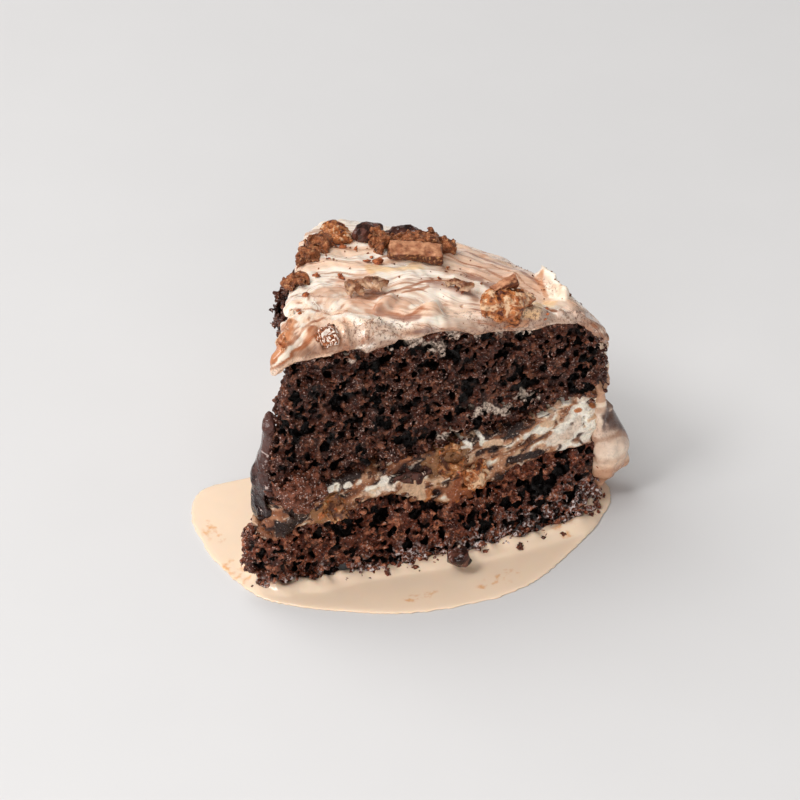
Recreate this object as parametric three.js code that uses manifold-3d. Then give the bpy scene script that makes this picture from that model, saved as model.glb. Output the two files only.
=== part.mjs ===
// A slice of chocolate tres leches cake standing in the milk that has run out of it.
// The slice is drawn with its point at x = 0, y = 0, its front cut face along +x and
// its second cut face turned by the slice angle. At the end it is moved so that the
// middle of the foot is the origin. All sizes are in millimetres.
import * as THREE from 'three';
import { mergeVertices } from 'three/addons/utils/BufferGeometryUtils.js';
import { ImprovedNoise } from 'three/addons/math/ImprovedNoise.js';
import Module from 'manifold-3d';

const wasm = await Module();
wasm.setup();

// The whole cake
const SPONGE_RADIUS = 112;
const SLICE_ANGLE = THREE.MathUtils.degToRad(60);
const MIDDLE = new THREE.Vector2(62, 34);
const GAP = 0.4;
const FROSTING_GAP = 0.55;

// Heights above the plate, at the centre of the whole cake
const LOWER_SPONGE_TOP = 21;
const UPPER_SPONGE_FOOT = 35;
const UPPER_SPONGE_TOP = 84;
const FROSTING_TOP = 90;

// How much lower or higher the layers are at the rim
const RIM_LIFT_OF_FILLING = 7;
const RIM_DROP_OF_SPONGE = 16;
const RIM_DROP_OF_FROSTING = 20;
const RIM_ROUNDING_START = 100;
const SPONGE_ROUNDING = 0.03;
const FROSTING_ROUNDING = 0.035;

// Plan roundings of the slice
const POINT_ROUNDING = 2.5;
const NEAR_CORNER_ROUNDING = 3;
const FAR_CORNER_ROUNDING = 34;

// The soaked lower sponge spreads at its foot
const FOOT_SPREAD = 7;
const FURTHER_FOOT_SPREAD = 8;

// The point leans out, a little from the top down and most in the lower sponge
const TOP_LEAN = 1.3;
const UPPER_LEAN = 3.5;
const LOWER_LEAN = 8.5;
const FOOT_TUCK = 7.5;

// Torn crumb of the cut faces
const CRAG_DEPTH = 2.6;
const CRAG_SIZE = 9;
const CRUMB_DEPTH = 2.4;
const CRUMB_SIZE = 3.1;
const TORN_CRUMB = 11;
const TORN_CRUMB_HEIGHT = 68;
const TORN_CRUMB_ALONG = 50;
const TORN_CRUMB_SPREAD = 9;
const FROSTING_SHORT_OF_TORN_CRUMB = 2.5;

// Strokes of the knife and small dabs on the frosting
const STROKE_HEIGHT = 1.1;
const STROKE_SIZE = 11;
const DAB_HEIGHT = 0.5;
const DAB_SIZE = 6;

// How uneven the layers are near the cut faces
const LAYER_UNEVEN = 1.4;
const LAYER_UNEVEN_SIZE = 20;

// Mounds and hollows of the layers: x, y, height and spread
const LOWER_SPONGE_MOUNDS = [[30, -4, 4, 9], [94, -4, 4, 9], [62, -6, -9, 11]];
const UPPER_SPONGE_MOUNDS = [[78, -4, -3.5, 12]];
const FROSTING_MOUNDS = [[30, 2, 1.6, 5], [54, 4, 1.4, 4], [15, 1, -3.2, 3.5], [39, 24, -1.4, 6]];

// The filling is softer and smoother
const FILLING_UNEVEN = 0.8;
const FILLING_UNEVEN_SIZE = 9;
const FILLING_INSET = 0.2;

// Cream round the rim, and milk round the foot
const RIM_CREAM_THICKNESS = 3.2;
const RIM_LEVELS = 8;
const RIM_CREAM_CLEAR_OF_PLATE = 1.6;
const RIM_LIP = 3;
const MILK_DEPTH = 1.3;
const MILK_EDGE_ROUNDING = 0.5;

const random = new ImprovedNoise();

function noise(x, y, z, size) {
  return random.noise(x / size, y / size, z / size);
}

function hump(x, y, [centreX, centreY, height, spread]) {
  const distance = Math.hypot(x - centreX, y - centreY);
  return height * Math.exp(-((distance / spread) ** 2) / 2);
}

function humps(x, y, mounds) {
  return mounds.reduce((total, mound) => total + hump(x, y, mound), 0);
}

// Solids from closed surfaces
function solid(geometry) {
  geometry.deleteAttribute('normal');
  geometry.deleteAttribute('uv');
  const merged = mergeVertices(geometry, 1e-4);
  const corners = merged.index.array;
  const kept = [];
  for (let start = 0; start < corners.length; start += 3) {
    const [a, b, c] = corners.slice(start, start + 3);
    if (a !== b && b !== c && c !== a) {
      kept.push(a, b, c);
    }
  }
  return new wasm.Manifold(new wasm.Mesh({
    numProp: 3,
    vertProperties: merged.attributes.position.array,
    triVerts: new Uint32Array(kept),
  }));
}

function reshape(geometry, place) {
  const position = geometry.attributes.position;
  const point = new THREE.Vector3();
  for (let index = 0; index < position.count; index++) {
    point.fromBufferAttribute(position, index);
    place(point);
    position.setXYZ(index, point.x, point.y, point.z);
  }
  return geometry;
}

// The plan of the slice
function polar(radius, angle) {
  return new THREE.Vector2(radius * Math.cos(angle), radius * Math.sin(angle));
}

// Points along the front cut face, round the near corner, the rim and the far corner,
// back along the second cut face and round the point
const FRONT_STEPS = 32;
const NEAR_STEPS = 2;
const RIM_STEPS = 12;
const FAR_STEPS = 8;
const BACK_STEPS = 22;
const POINT_STEPS = 3;

// The steps that the rim cream covers, and how soon the cut faces reach their full relief
const RIM_CREAM_START = FRONT_STEPS + 1;
const RIM_CREAM_END = FRONT_STEPS + NEAR_STEPS + RIM_STEPS + FAR_STEPS - 1;
const RELIEF_STEPS = 4;

function sliceOutline(radius) {
  const nearAngle = NEAR_CORNER_ROUNDING / radius;
  const farAngle = SLICE_ANGLE - FAR_CORNER_ROUNDING / radius;
  const pointFront = polar(POINT_ROUNDING, 0);
  const pointBack = polar(POINT_ROUNDING, SLICE_ANGLE);
  const nearFront = polar(radius - NEAR_CORNER_ROUNDING, 0);
  const nearCorner = polar(radius, 0);
  const nearRim = polar(radius, nearAngle);
  const farRim = polar(radius, farAngle);
  const farCorner = polar(radius, SLICE_ANGLE);
  const farBack = polar(radius - FAR_CORNER_ROUNDING, SLICE_ANGLE);
  const point = new THREE.Vector2();
  const sides = [
    { curve: new THREE.LineCurve(pointFront, nearFront), steps: FRONT_STEPS },
    { curve: new THREE.QuadraticBezierCurve(nearFront, nearCorner, nearRim), steps: NEAR_STEPS },
    { curve: new THREE.EllipseCurve(0, 0, radius, radius, nearAngle, farAngle), steps: RIM_STEPS },
    { curve: new THREE.QuadraticBezierCurve(farRim, farCorner, farBack), steps: FAR_STEPS },
    { curve: new THREE.LineCurve(farBack, pointBack), steps: BACK_STEPS },
    { curve: new THREE.QuadraticBezierCurve(pointBack, point, pointFront), steps: POINT_STEPS },
  ];
  const points = sides.flatMap(({ curve, steps }) => curve.getPoints(steps).slice(0, -1));
  return points.map((corner, index) => {
    const before = points.at(index - 1);
    const after = points[(index + 1) % points.length];
    const along = after.clone().sub(before).normalize();
    const fromRim = Math.max(RIM_CREAM_START - index, index - RIM_CREAM_END);
    return {
      point: corner,
      normal: new THREE.Vector2(along.y, -along.x),
      cutFace: THREE.MathUtils.smoothstep(fromRim, 0, RELIEF_STEPS),
    };
  });
}

// A layer is a lathe whose turns follow the outline. Its profile runs from the middle of
// the underside outwards, up the wall and back to the middle of the top. In the profile
// x is the share of the way out to the wall, and y the share of the way up, or below the
// underside a share of how far the layer hangs over. The wall moves by its own relief only
// outside WALL_START.
const WALL_START = 0.9;

function layer({ outline, profile, underside, top, wall, hang = () => 0 }) {
  const lathe = new THREE.LatheGeometry(profile, outline.length);
  const position = lathe.attributes.position;
  for (let turn = 0; turn <= outline.length; turn++) {
    const edge = outline[turn % outline.length];
    profile.forEach((step, row) => {
      const spot = MIDDLE.clone().lerp(edge.point, step.x);
      const near = THREE.MathUtils.lerp(underside(spot.x, spot.y), top(spot.x, spot.y), step.y);
      if (step.x > WALL_START) {
        const share = (step.x - WALL_START) / (1 - WALL_START);
        spot.addScaledVector(edge.normal, wall(edge, near, step) * share);
      }
      const low = underside(spot.x, spot.y);
      const height = THREE.MathUtils.lerp(low, top(spot.x, spot.y), Math.max(step.y, 0));
      const below = Math.min(step.y, 0) * hang(edge);
      position.setXYZ(turn * profile.length + row, spot.x, spot.y, height + below);
    });
  }
  return solid(lathe);
}

const CAP_REACHES = [0, 0.35, 0.65, WALL_START];

function spongeProfile(levels, undersideReaches = CAP_REACHES) {
  const underside = undersideReaches.map((reach) => new THREE.Vector2(reach, 0));
  const wall = [];
  for (let level = 0; level <= levels; level++) {
    wall.push(new THREE.Vector2(1, level / levels));
  }
  const top = CAP_REACHES.toReversed().map((reach) => new THREE.Vector2(reach, 1));
  return [...underside, ...wall, ...top];
}

// Heights of the layers
function nearWall(x, y) {
  const frontDepth = y;
  const backDepth = x * Math.sin(SLICE_ANGLE) - y * Math.cos(SLICE_ANGLE);
  return 1 - THREE.MathUtils.smoothstep(Math.min(frontDepth, backDepth), 4, 16);
}

function rimShare(x, y) {
  return Math.hypot(x, y) / SPONGE_RADIUS;
}

function pastRounding(x, y) {
  return Math.max(0, Math.hypot(x, y) - RIM_ROUNDING_START) ** 2;
}

function uneven(x, y, seed) {
  return LAYER_UNEVEN * noise(x, y, seed, LAYER_UNEVEN_SIZE) * nearWall(x, y);
}

function lowerSpongeTop(x, y) {
  return LOWER_SPONGE_TOP + uneven(x, y, LOWER_SPONGE_TOP) + humps(x, y, LOWER_SPONGE_MOUNDS);
}

function upperSpongeFoot(x, y) {
  const lift = RIM_LIFT_OF_FILLING * rimShare(x, y) ** 3;
  return UPPER_SPONGE_FOOT + lift + uneven(x, y, UPPER_SPONGE_FOOT);
}

function upperSpongeTop(x, y) {
  const dome = RIM_DROP_OF_SPONGE * rimShare(x, y) ** 2.5 + pastRounding(x, y) * SPONGE_ROUNDING;
  const relief = uneven(x, y, UPPER_SPONGE_TOP) + humps(x, y, UPPER_SPONGE_MOUNDS);
  return UPPER_SPONGE_TOP - dome + relief;
}

function frostingTop(x, y) {
  const strokes = STROKE_HEIGHT * noise(x * 0.5 + y * 0.3, y - x * 0.2, 0.5, STROKE_SIZE);
  const dabs = DAB_HEIGHT * noise(x, y, FROSTING_TOP, DAB_SIZE);
  const dome = RIM_DROP_OF_FROSTING * rimShare(x, y) ** 2 + pastRounding(x, y) * FROSTING_ROUNDING;
  return FROSTING_TOP - dome + strokes + dabs + humps(x, y, FROSTING_MOUNDS);
}

// How far the walls stand out
function crumb(x, y, z) {
  const crag = Math.abs(noise(x, y, z, CRAG_SIZE));
  const fine = 0.5 + 0.5 * noise(x + CRAG_SIZE, y, z, CRUMB_SIZE);
  return CRAG_DEPTH * crag + CRUMB_DEPTH * fine;
}

function onBackFace({ normal, cutFace }) {
  return Math.max(0, -normal.x) * cutFace;
}

// Crumb relief, which milk fills at the foot and glaze fills beside the point
function relief(edge, height) {
  const { x, y } = edge.point;
  const besidePoint = 1 - THREE.MathUtils.smoothstep(edge.point.length(), 10, 20);
  const glazed = onBackFace(edge) * besidePoint * (1 - THREE.MathUtils.smoothstep(height, 60, 70));
  const dry = (1 - glazed) * THREE.MathUtils.smoothstep(height, -1, 4);
  return crumb(x, y, height) * edge.cutFace * dry;
}

function footSpread(edge, height) {
  const lift = Math.max(0, 1 - height / (LOWER_SPONGE_TOP + 3));
  const near = FOOT_SPREAD * THREE.MathUtils.smoothstep(edge.point.length(), -4, 10);
  const outward = THREE.MathUtils.smoothstep(edge.point.length(), 15, 70);
  const further = FURTHER_FOOT_SPREAD * outward * Math.max(0, -edge.normal.y);
  return (near + further) * lift ** 1.6 * edge.cutFace;
}

function pointLean({ point, normal }, height) {
  const atPoint = 1 - THREE.MathUtils.smoothstep(point.length(), 6, 30);
  const upper = UPPER_LEAN * (1 - THREE.MathUtils.smoothstep(height, 36, 74));
  const lower = LOWER_LEAN * (1 - THREE.MathUtils.smoothstep(height, 16, 30));
  const tuck = FOOT_TUCK * (1 - THREE.MathUtils.smoothstep(height, 0, 12));
  return (TOP_LEAN + upper + lower - tuck) * atPoint * Math.max(0, -normal.x);
}

// Crumb torn out under the frosting on the second cut face
function tornOut(edge, height) {
  const centre = [TORN_CRUMB_ALONG, TORN_CRUMB_HEIGHT, TORN_CRUMB, TORN_CRUMB_SPREAD];
  return hump(edge.point.length(), height, centre) * onBackFace(edge);
}

// The three layers of the slice
function lowerSponge(outline) {
  return layer({
    outline,
    profile: spongeProfile(7, [0]),
    underside: () => 0,
    top: lowerSpongeTop,
    wall: (edge, height) => footSpread(edge, height) + pointLean(edge, height) - relief(edge, height),
  });
}

function creamFilling(outline) {
  return layer({
    outline,
    profile: spongeProfile(3),
    underside: (x, y) => lowerSpongeTop(x, y) + GAP,
    top: (x, y) => upperSpongeFoot(x, y) - GAP,
    wall: (edge, height) => {
      const { x, y } = edge.point;
      const soft = FILLING_UNEVEN * noise(x, y, height, FILLING_UNEVEN_SIZE) - FILLING_INSET;
      return (soft + pointLean(edge, height)) * edge.cutFace;
    },
  });
}

function upperSponge(outline) {
  return layer({
    outline,
    profile: spongeProfile(10),
    underside: upperSpongeFoot,
    top: upperSpongeTop,
    wall: (edge, height) => pointLean(edge, height) + tornOut(edge, height) - relief(edge, height),
  });
}

// A smooth copy of the three layers, a gap larger, that other pieces are cut with
const ENVELOPE_LEVELS = 14;

function envelope(outline) {
  return layer({
    outline,
    profile: spongeProfile(ENVELOPE_LEVELS),
    underside: () => -GAP,
    top: (x, y) => upperSpongeTop(x, y) + GAP,
    wall: (edge, height) => {
      const filling = (FILLING_UNEVEN - FILLING_INSET) * edge.cutFace;
      const out = pointLean(edge, height) + tornOut(edge, height) + footSpread(edge, height);
      return filling + GAP + out;
    },
  });
}

// Frosting: the first steps of the profile lie on the sponge, the lip hangs over its edge
const FROSTING_SEAT = [...CAP_REACHES.map((reach) => [reach, 0]), [1, 0]];
const FROSTING_LIP = [[1.005, -0.6], [1.02, -1], [1.035, -0.3], [1.03, 0.45], [1.01, 0.85]];
const FROSTING_CREST = [[0.975, 1], [0.92, 1], [0.83, 1], [0.73, 1], [0.62, 1], [0.5, 1],
  [0.32, 1], [0, 1]];

const FOLD_DEPTH = 1.2;
const FOLD_SIZE = 8;
const LIP_REACH = 0.6;
const CREST_INSET = 1.6;
const LEAST_FROSTING = 1.2;
const RAGGED_EDGE = 2.4;
const RAGGED_EDGE_SIZE = 10;
const POINT_OVERHANG = 4;

function frostingLayer(outline, grow, underside) {
  const seat = FROSTING_SEAT.length;
  const profile = [...FROSTING_SEAT, ...FROSTING_LIP, ...FROSTING_CREST]
    .map(([reach, level]) => new THREE.Vector2(reach, level));
  const tornShare = (edge) => tornOut(edge, TORN_CRUMB_HEIGHT) / TORN_CRUMB;
  return layer({
    outline,
    profile,
    underside,
    top: (x, y) => Math.max(frostingTop(x, y), upperSpongeTop(x, y) + LEAST_FROSTING) + grow,
    wall: (edge, height, step) => {
      const { x, y } = edge.point;
      const atRim = 1 - edge.cutFace;
      const atPoint = 1 - THREE.MathUtils.smoothstep(edge.point.length(), 4, 16);
      const folds = FOLD_DEPTH * noise(x, y, 6 * step.y, FOLD_SIZE) * (1 - atRim);
      const short = FROSTING_SHORT_OF_TORN_CRUMB * tornShare(edge);
      const full = LIP_REACH + folds + 0.8 * atPoint + 0.4 * atRim - short;
      const rounded = step.y > 0.8 ? full - CREST_INSET : full;
      return (profile.indexOf(step) < seat ? LIP_REACH / 2 - short : rounded) + grow;
    },
    hang: (edge) => {
      const { x, y } = edge.point;
      const atPoint = 1 - THREE.MathUtils.smoothstep(edge.point.length(), 3, 18);
      const ragged = Math.max(0, RAGGED_EDGE * noise(x, y, FROSTING_TOP, RAGGED_EDGE_SIZE));
      const overhang = POINT_OVERHANG * atPoint * Math.max(0, -edge.normal.x);
      const lip = (ragged + overhang) * edge.cutFace + RIM_LIP * (1 - edge.cutFace);
      return lip * (1 - Math.min(1, 6 * tornShare(edge))) + grow;
    },
  });
}

// A fold of frosting pulled up near the rim
const RIDGE = { size: [15, 2.2, 6.4], centre: [103.2, 18.5, 73.6], turn: [0, 6, 93], roughness: 0.3 };

function frosting(outline, body) {
  const ridge = block(RIDGE.size, RIDGE.centre, RIDGE.turn, RIDGE.roughness);
  const smooth = frostingLayer(outline, 0, (x, y) => upperSpongeTop(x, y) + FROSTING_GAP);
  return smooth.add(ridge.subtract(body));
}

// Cream round the rim, from the plate up to the frosting, with a dollop pressed out of the
// filling beside the front cut face
const DOLLOP = [[0, 6.5], [4, 7], [7.6, 10], [8.6, 15], [7.4, 23], [4.2, 30], [0, 36]];
const DOLLOP_PLACE = [115, 4];
const ROPE_HEIGHT = 0.9;
const ROPE_SPREAD = 0.08;
const ROPE_THICKNESS = 1.6;
const RIM_UNEVEN = 1.5;
const RIM_UNEVEN_SIZE = 12;
const THIN_END = 0.3;

function rimCream(outline, body) {
  const steps = RIM_CREAM_END - RIM_CREAM_START;
  const band = new THREE.BoxGeometry(1, 1, 1, 1, steps, RIM_LEVELS);
  reshape(band, (corner) => {
    const outward = corner.x + 0.5;
    const round = corner.y + 0.5;
    const up = corner.z + 0.5;
    const { point, normal } = outline[RIM_CREAM_START + Math.round(round * steps)];
    const thinEnd = Math.min(1, THIN_END + 5 * round, THIN_END + 5 * (1 - round));
    const rope = ROPE_THICKNESS * Math.exp(-(((up - ROPE_HEIGHT) / ROPE_SPREAD) ** 2));
    const dabs = RIM_UNEVEN * noise(point.x, point.y, up * UPPER_SPONGE_TOP, RIM_UNEVEN_SIZE);
    const cream = (RIM_CREAM_THICKNESS + dabs + rope) * thinEnd;
    const edge = point.clone().addScaledVector(normal, GAP + outward * cream);
    const top = upperSpongeTop(edge.x, edge.y) - RIM_LIP - GAP;
    corner.set(edge.x, edge.y, THREE.MathUtils.lerp(RIM_CREAM_CLEAR_OF_PLATE, top, up));
  });
  return solid(band).add(drip(DOLLOP, DOLLOP_PLACE).subtract(body));
}

// Loose forms: a noisy ball, a broken block and an upright drip
function turnAndPlace(geometry, size, centre, turn) {
  const frame = new THREE.Matrix4().compose(
    new THREE.Vector3(...centre),
    new THREE.Quaternion().setFromEuler(new THREE.Euler(...turn.map(THREE.MathUtils.degToRad))),
    new THREE.Vector3(...size),
  );
  return geometry.applyMatrix4(frame);
}

function roughen(geometry, centre, roughness) {
  return reshape(geometry, (corner) => {
    const [x, y, z] = centre;
    corner.multiplyScalar(1 + roughness * noise(corner.x + x, corner.y + y, corner.z + z, 0.45));
  });
}

function lump(size, centre, turn = [0, 0, 0], roughness = 0.3) {
  const ball = roughen(new THREE.IcosahedronGeometry(0.5, 1), centre, roughness);
  return solid(turnAndPlace(ball, size, centre, turn));
}

function block(size, centre, turn = [0, 0, 0], roughness = 0.15) {
  const brick = roughen(new THREE.BoxGeometry(1, 1, 1, 3, 2, 2), centre, roughness);
  return solid(turnAndPlace(brick, size, centre, turn));
}

function drip(profile, [x, y], stretch = 1, heading = 0) {
  const points = profile.map(([radius, height]) => new THREE.Vector2(radius, height));
  const lathe = new THREE.LatheGeometry(points, 12).rotateX(Math.PI / 2);
  return solid(turnAndPlace(lathe, [stretch, 1, 1], [x, y, 0], [0, 0, heading]));
}

// Finishes, as colours and roughnesses
const SPONGE = { color: '#3b2519', roughness: 0.85 };
const CREAM = { color: '#e6d2c2', roughness: 0.45 };
const FILLING = { color: '#8c6547', roughness: 0.4 };
const GLAZE = { color: '#3a2a26', roughness: 0.12 };
const MILK = { color: '#ead2b4', roughness: 0.2 };
const BAR = { color: '#8f5c42', roughness: 0.5 };
const COCOA = { color: '#6b4430', roughness: 0.65 };
const DARK = { color: '#46302a', roughness: 0.25 };
const HONEY = { color: '#a5683c', roughness: 0.5 };
const CARAMEL = { color: '#a06c40', roughness: 0.2 };

// Pieces on the frosting, each with its finish, form, size, centre and turn in degrees
const TOPPINGS = {
  bar_piece: [BAR, block, [17, 6.5, 6.5], [65.5, 41.5, 82], [12, 0, -24]],
  cocoa_piece_left: [COCOA, block, [5.5, 7, 7], [58, 51, 83], [0, 0, -10]],
  cocoa_piece_behind: [COCOA, block, [15, 6, 7], [67.5, 49, 81], [0, 4, -24]],
  cocoa_piece_right: [COCOA, lump, [7, 11, 8], [77, 45, 79], [0, 0, -20]],
  dark_candy_left: [DARK, lump, [12, 9, 9], [57.5, 60, 80], [0, 0, 20]],
  dark_candy_right: [DARK, lump, [13, 8, 8], [69, 58.5, 78], [0, 0, -20]],
  honeycomb_piece: [HONEY, lump, [15, 10, 8], [48.5, 65, 80], [0, 0, 50]],
  edge_cocoa_upper: [COCOA, lump, [12, 8, 7], [38.5, 57, 84], [0, 0, 60]],
  edge_cocoa_lower: [COCOA, lump, [10, 7, 6], [32.5, 50, 85], [0, 0, 60]],
  edge_candy: [BAR, lump, [7, 6, 6], [22, 37, 86.5], [0, 0, 60]],
  nougat_chunk: [HONEY, lump, [19, 12, 11], [78, 3, 82], [0, 8, -12]],
  bar_shard: [BAR, block, [9, 3.5, 4], [79, 5, 87.4], [0, -18, 4]],
  sunk_cocoa: [COCOA, lump, [13, 9, 5], [40, 25, 87], [0, 0, 10]],
  sunk_nougat: [HONEY, lump, [12, 8, 5], [68, 17, 83], [0, 0, -15]],
  broken_candy: [DARK, lump, [9, 6, 7], [17, 1, 88.5], [0, 20, 0]],
};

// Pieces that the filling holds at the front cut face, and one that fell to its foot
const FILLING_PIECES = {
  cake_lump: [COCOA, lump, [13, 8, 11], [4.5, -1, 36.5], [0, 0, 0]],
  filling_candy: [CARAMEL, lump, [13, 7, 11], [14.5, -1, 25.5], [0, 0, 0]],
  fudge_strip: [DARK, block, [15, 5, 4], [44, -0.5, 30], [0, 12, 0]],
  caramel_piece: [CARAMEL, lump, [9, 8, 12], [57.5, -1, 32], [0, 10, 0]],
  filling_nougat: [HONEY, lump, [9, 7, 11], [66, -2, 23.5], [0, -10, 0]],
  fallen_candy: [DARK, lump, [8, 8, 7], [53.5, -17.5, 5.4], [0, 0, 0]],
};

// The pieces are cut with what holds them, and with a larger copy of each earlier piece
function putPieces(pieces, holder) {
  const occupied = [holder];
  for (const [name, [look, form, size, centre, turn]] of Object.entries(pieces)) {
    const larger = size.map((length) => length + 2 * GAP);
    const piece = form(size, centre, turn);
    put(name, occupied.reduce((rest, other) => rest.subtract(other), piece), look);
    occupied.push(form(larger, centre, turn));
  }
}

// Dark glaze that has run down the second cut face beside the point
const POINT_GLAZE = [
  [0, 22.5], [4.5, 24], [6, 29], [5.9, 38], [4, 44], [2.3, 50], [1.9, 58], [0, 61],
];
const POINT_GLAZE_PLACE = [-0.4, 8.3];
const POINT_GLAZE_STRETCH = 1.6;
const POINT_GLAZE_HEADING = 60;

function pointGlaze(body) {
  const run = drip(POINT_GLAZE, POINT_GLAZE_PLACE, POINT_GLAZE_STRETCH, POINT_GLAZE_HEADING);
  return run.subtract(body);
}

// The milk that has run out round the foot, as points along its edge
const MILK_EDGE = [
  [17, 57], [4, 58.5], [-4, 58], [-10, 52], [-14, 42], [-15, 31], [-15, 19], [-13, 7],
  [-9, -4], [0, -13], [12, -21], [26, -29], [42, -33.5], [58, -35], [73, -32.5],
  [86, -26], [99, -18], [108, -11], [115, -4], [118, 6], [114, 16], [100, 20],
  [70, 30], [50, 44], [35, 54], [27, 58],
];

function milkPool(body) {
  const [start, ...others] = MILK_EDGE.map(([x, y]) => new THREE.Vector2(x, y));
  const shape = new THREE.Shape();
  shape.moveTo(start.x, start.y);
  shape.splineThru([...others, start]);
  const sheet = new THREE.ExtrudeGeometry(shape, {
    depth: MILK_DEPTH - 2 * MILK_EDGE_ROUNDING,
    curveSegments: 2,
    bevelThickness: MILK_EDGE_ROUNDING,
    bevelSize: MILK_EDGE_ROUNDING,
    bevelSegments: 1,
  });
  sheet.translate(0, 0, MILK_EDGE_ROUNDING);
  return solid(sheet).subtract(body);
}

// Scene graph
function shell(manifold) {
  const { vertProperties, triVerts } = manifold.getMesh();
  const geometry = new THREE.BufferGeometry();
  geometry.setAttribute('position', new THREE.BufferAttribute(vertProperties, 3));
  geometry.setIndex(new THREE.BufferAttribute(triVerts, 1));
  geometry.computeVertexNormals();
  return geometry;
}

const slice = new THREE.Group();

function put(name, manifold, look) {
  const material = new THREE.MeshStandardMaterial({ metalness: 0, ...look });
  const mesh = new THREE.Mesh(shell(manifold), material);
  mesh.name = name;
  slice.add(mesh);
}

const outline = sliceOutline(SPONGE_RADIUS);
const body = envelope(outline);
const holder = frostingLayer(outline, GAP, (x, y) => upperSpongeTop(x, y) - GAP).add(body);

put('sponge_lower', lowerSponge(outline), SPONGE);
put('cream_filling', creamFilling(outline), FILLING);
put('sponge_upper', upperSponge(outline), SPONGE);
put('top_frosting', frosting(outline, body), CREAM);
put('rim_cream', rimCream(outline, body), CREAM);
put('point_glaze', pointGlaze(body), GLAZE);
put('milk_pool', milkPool(body), MILK);
putPieces(TOPPINGS, holder);
putPieces(FILLING_PIECES, body);
slice.position.set(-MIDDLE.x, -MIDDLE.y, 0);

const model = new THREE.Group();
model.add(slice);

export default model;
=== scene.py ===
"""Looks for a slice of chocolate tres leches cake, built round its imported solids.

Lengths are in millimetres from the slice's point, with x along the front cut face and z up,
until a piece is made: its mesh is in metres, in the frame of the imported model.
"""

import math

import bmesh
import bpy
import numpy as np
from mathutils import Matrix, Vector
from mathutils.bvhtree import BVHTree


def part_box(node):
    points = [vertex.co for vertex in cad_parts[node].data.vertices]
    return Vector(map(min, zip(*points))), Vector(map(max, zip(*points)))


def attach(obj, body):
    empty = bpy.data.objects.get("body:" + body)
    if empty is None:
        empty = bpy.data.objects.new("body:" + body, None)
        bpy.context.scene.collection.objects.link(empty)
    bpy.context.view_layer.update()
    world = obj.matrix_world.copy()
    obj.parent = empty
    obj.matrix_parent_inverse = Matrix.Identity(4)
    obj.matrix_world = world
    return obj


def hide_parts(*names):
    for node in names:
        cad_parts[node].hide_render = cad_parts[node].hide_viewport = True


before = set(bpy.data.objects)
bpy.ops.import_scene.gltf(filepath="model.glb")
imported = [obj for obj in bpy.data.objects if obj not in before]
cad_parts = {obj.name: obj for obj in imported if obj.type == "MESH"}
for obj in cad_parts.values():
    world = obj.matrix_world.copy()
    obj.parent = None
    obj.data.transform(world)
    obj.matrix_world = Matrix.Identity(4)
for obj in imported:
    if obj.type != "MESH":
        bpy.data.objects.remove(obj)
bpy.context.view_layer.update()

bl_info = {
    "name": "Tres leches cake slice",
    "version": (1, 0, 0),
    "blender": (4, 5, 0),
    "location": "View3D > Sidebar > Cake",
    "description": "Crumb, frosting, filling, candy, glaze and milk for the packed slice",
    "category": "Object",
}

MM = 0.001

# The slice: where its point lies in the frame, the angle between its cut faces, and their length
POINT_OF_SLICE = np.array([-62.0, -34.0, 0.0])
SLICE_ANGLE = math.radians(60)
RADIUS = 112.0

# The hidden cut face: the way along it from the point, and the way out of it
BACK_ALONG = np.array([math.cos(SLICE_ANGLE), math.sin(SLICE_ANGLE), 0.0])
BACK_OUT = np.array([-math.sin(SLICE_ANGLE), math.cos(SLICE_ANGLE), 0.0])

# The frosting's dome: its height over the slice's point, and how far it falls to the rim
DOME_TOP = 90.0
DOME_FALL = 20.0

# Carving: a distance beyond any form, the lowest place that crumb and cream reach, and the
# room left round a solid and round a spot
FAR = 50.0
LOWEST = 0.1
MARGIN = 4.0
SPOT_MARGIN = 1.5

# Relief fades out between these depths inside the cut faces, and deeper down the mesh has faces
# of this size
RELIEF_ENDS = (6.5, 8.5)
HIDDEN_SIZE = 6.0


# Blocks of space that forms are carved in
class Block:
    """A block of space cut into small cells. Its axes list where the cells lie."""

    def __init__(self, low, high, cell):
        self.cell = np.ones(3) * np.array(cell, float)
        self.axes = [
            np.arange(start, stop + step, step)
            for start, stop, step in zip(low, high, self.cell)
        ]
        self.low = np.array([axis[0] for axis in self.axes])
        self.high = np.array([axis[-1] for axis in self.axes])
        self.shape = tuple(len(axis) for axis in self.axes)
        singles = [axis.astype(np.float32) for axis in self.axes]
        self.x, self.y, self.z = np.meshgrid(*singles, indexing="ij", sparse=True)


def node_box(node):
    low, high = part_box(node)
    return np.array(low) / MM - POINT_OF_SLICE, np.array(high) / MM - POINT_OF_SLICE


def block_round(node, cell, margin=MARGIN):
    low, high = node_box(node)
    return Block(low - margin, high + margin, cell)


def spline_weights(part):
    return 0.5 * (1 - part) ** 2, 0.5 + part * (1 - part), 0.5 * part ** 2


def along_axis(values, number, whole, weights):
    """Blends neighbouring values along one axis."""
    turned = np.moveaxis(values, number, 0)
    total = 0
    for shift, weight in enumerate(weights):
        total = total + turned[whole + shift] * weight.astype(np.float32)[:, None, None]
    return np.moveaxis(total, 0, number)


def hills(block, size, seed, stretch=(1, 1, 1)):
    """Smooth random hills between about -1 and 1, `size` apart."""
    rng = np.random.default_rng(seed)
    steps = []
    for axis, longer in zip(block.axes, stretch):
        place = (axis - axis[0]) / (size * longer) + rng.uniform(0, 1)
        whole = place.astype(int)
        steps.append((whole, place - whole))
    values = rng.uniform(-1, 1, [whole[-1] + 3 for whole, part in steps]).astype(np.float32)
    for number, (whole, part) in enumerate(steps):
        values = along_axis(values, number, whole, spline_weights(part))
    # Blending evens the values out, and this spreads them again
    return values * 2.2


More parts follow.
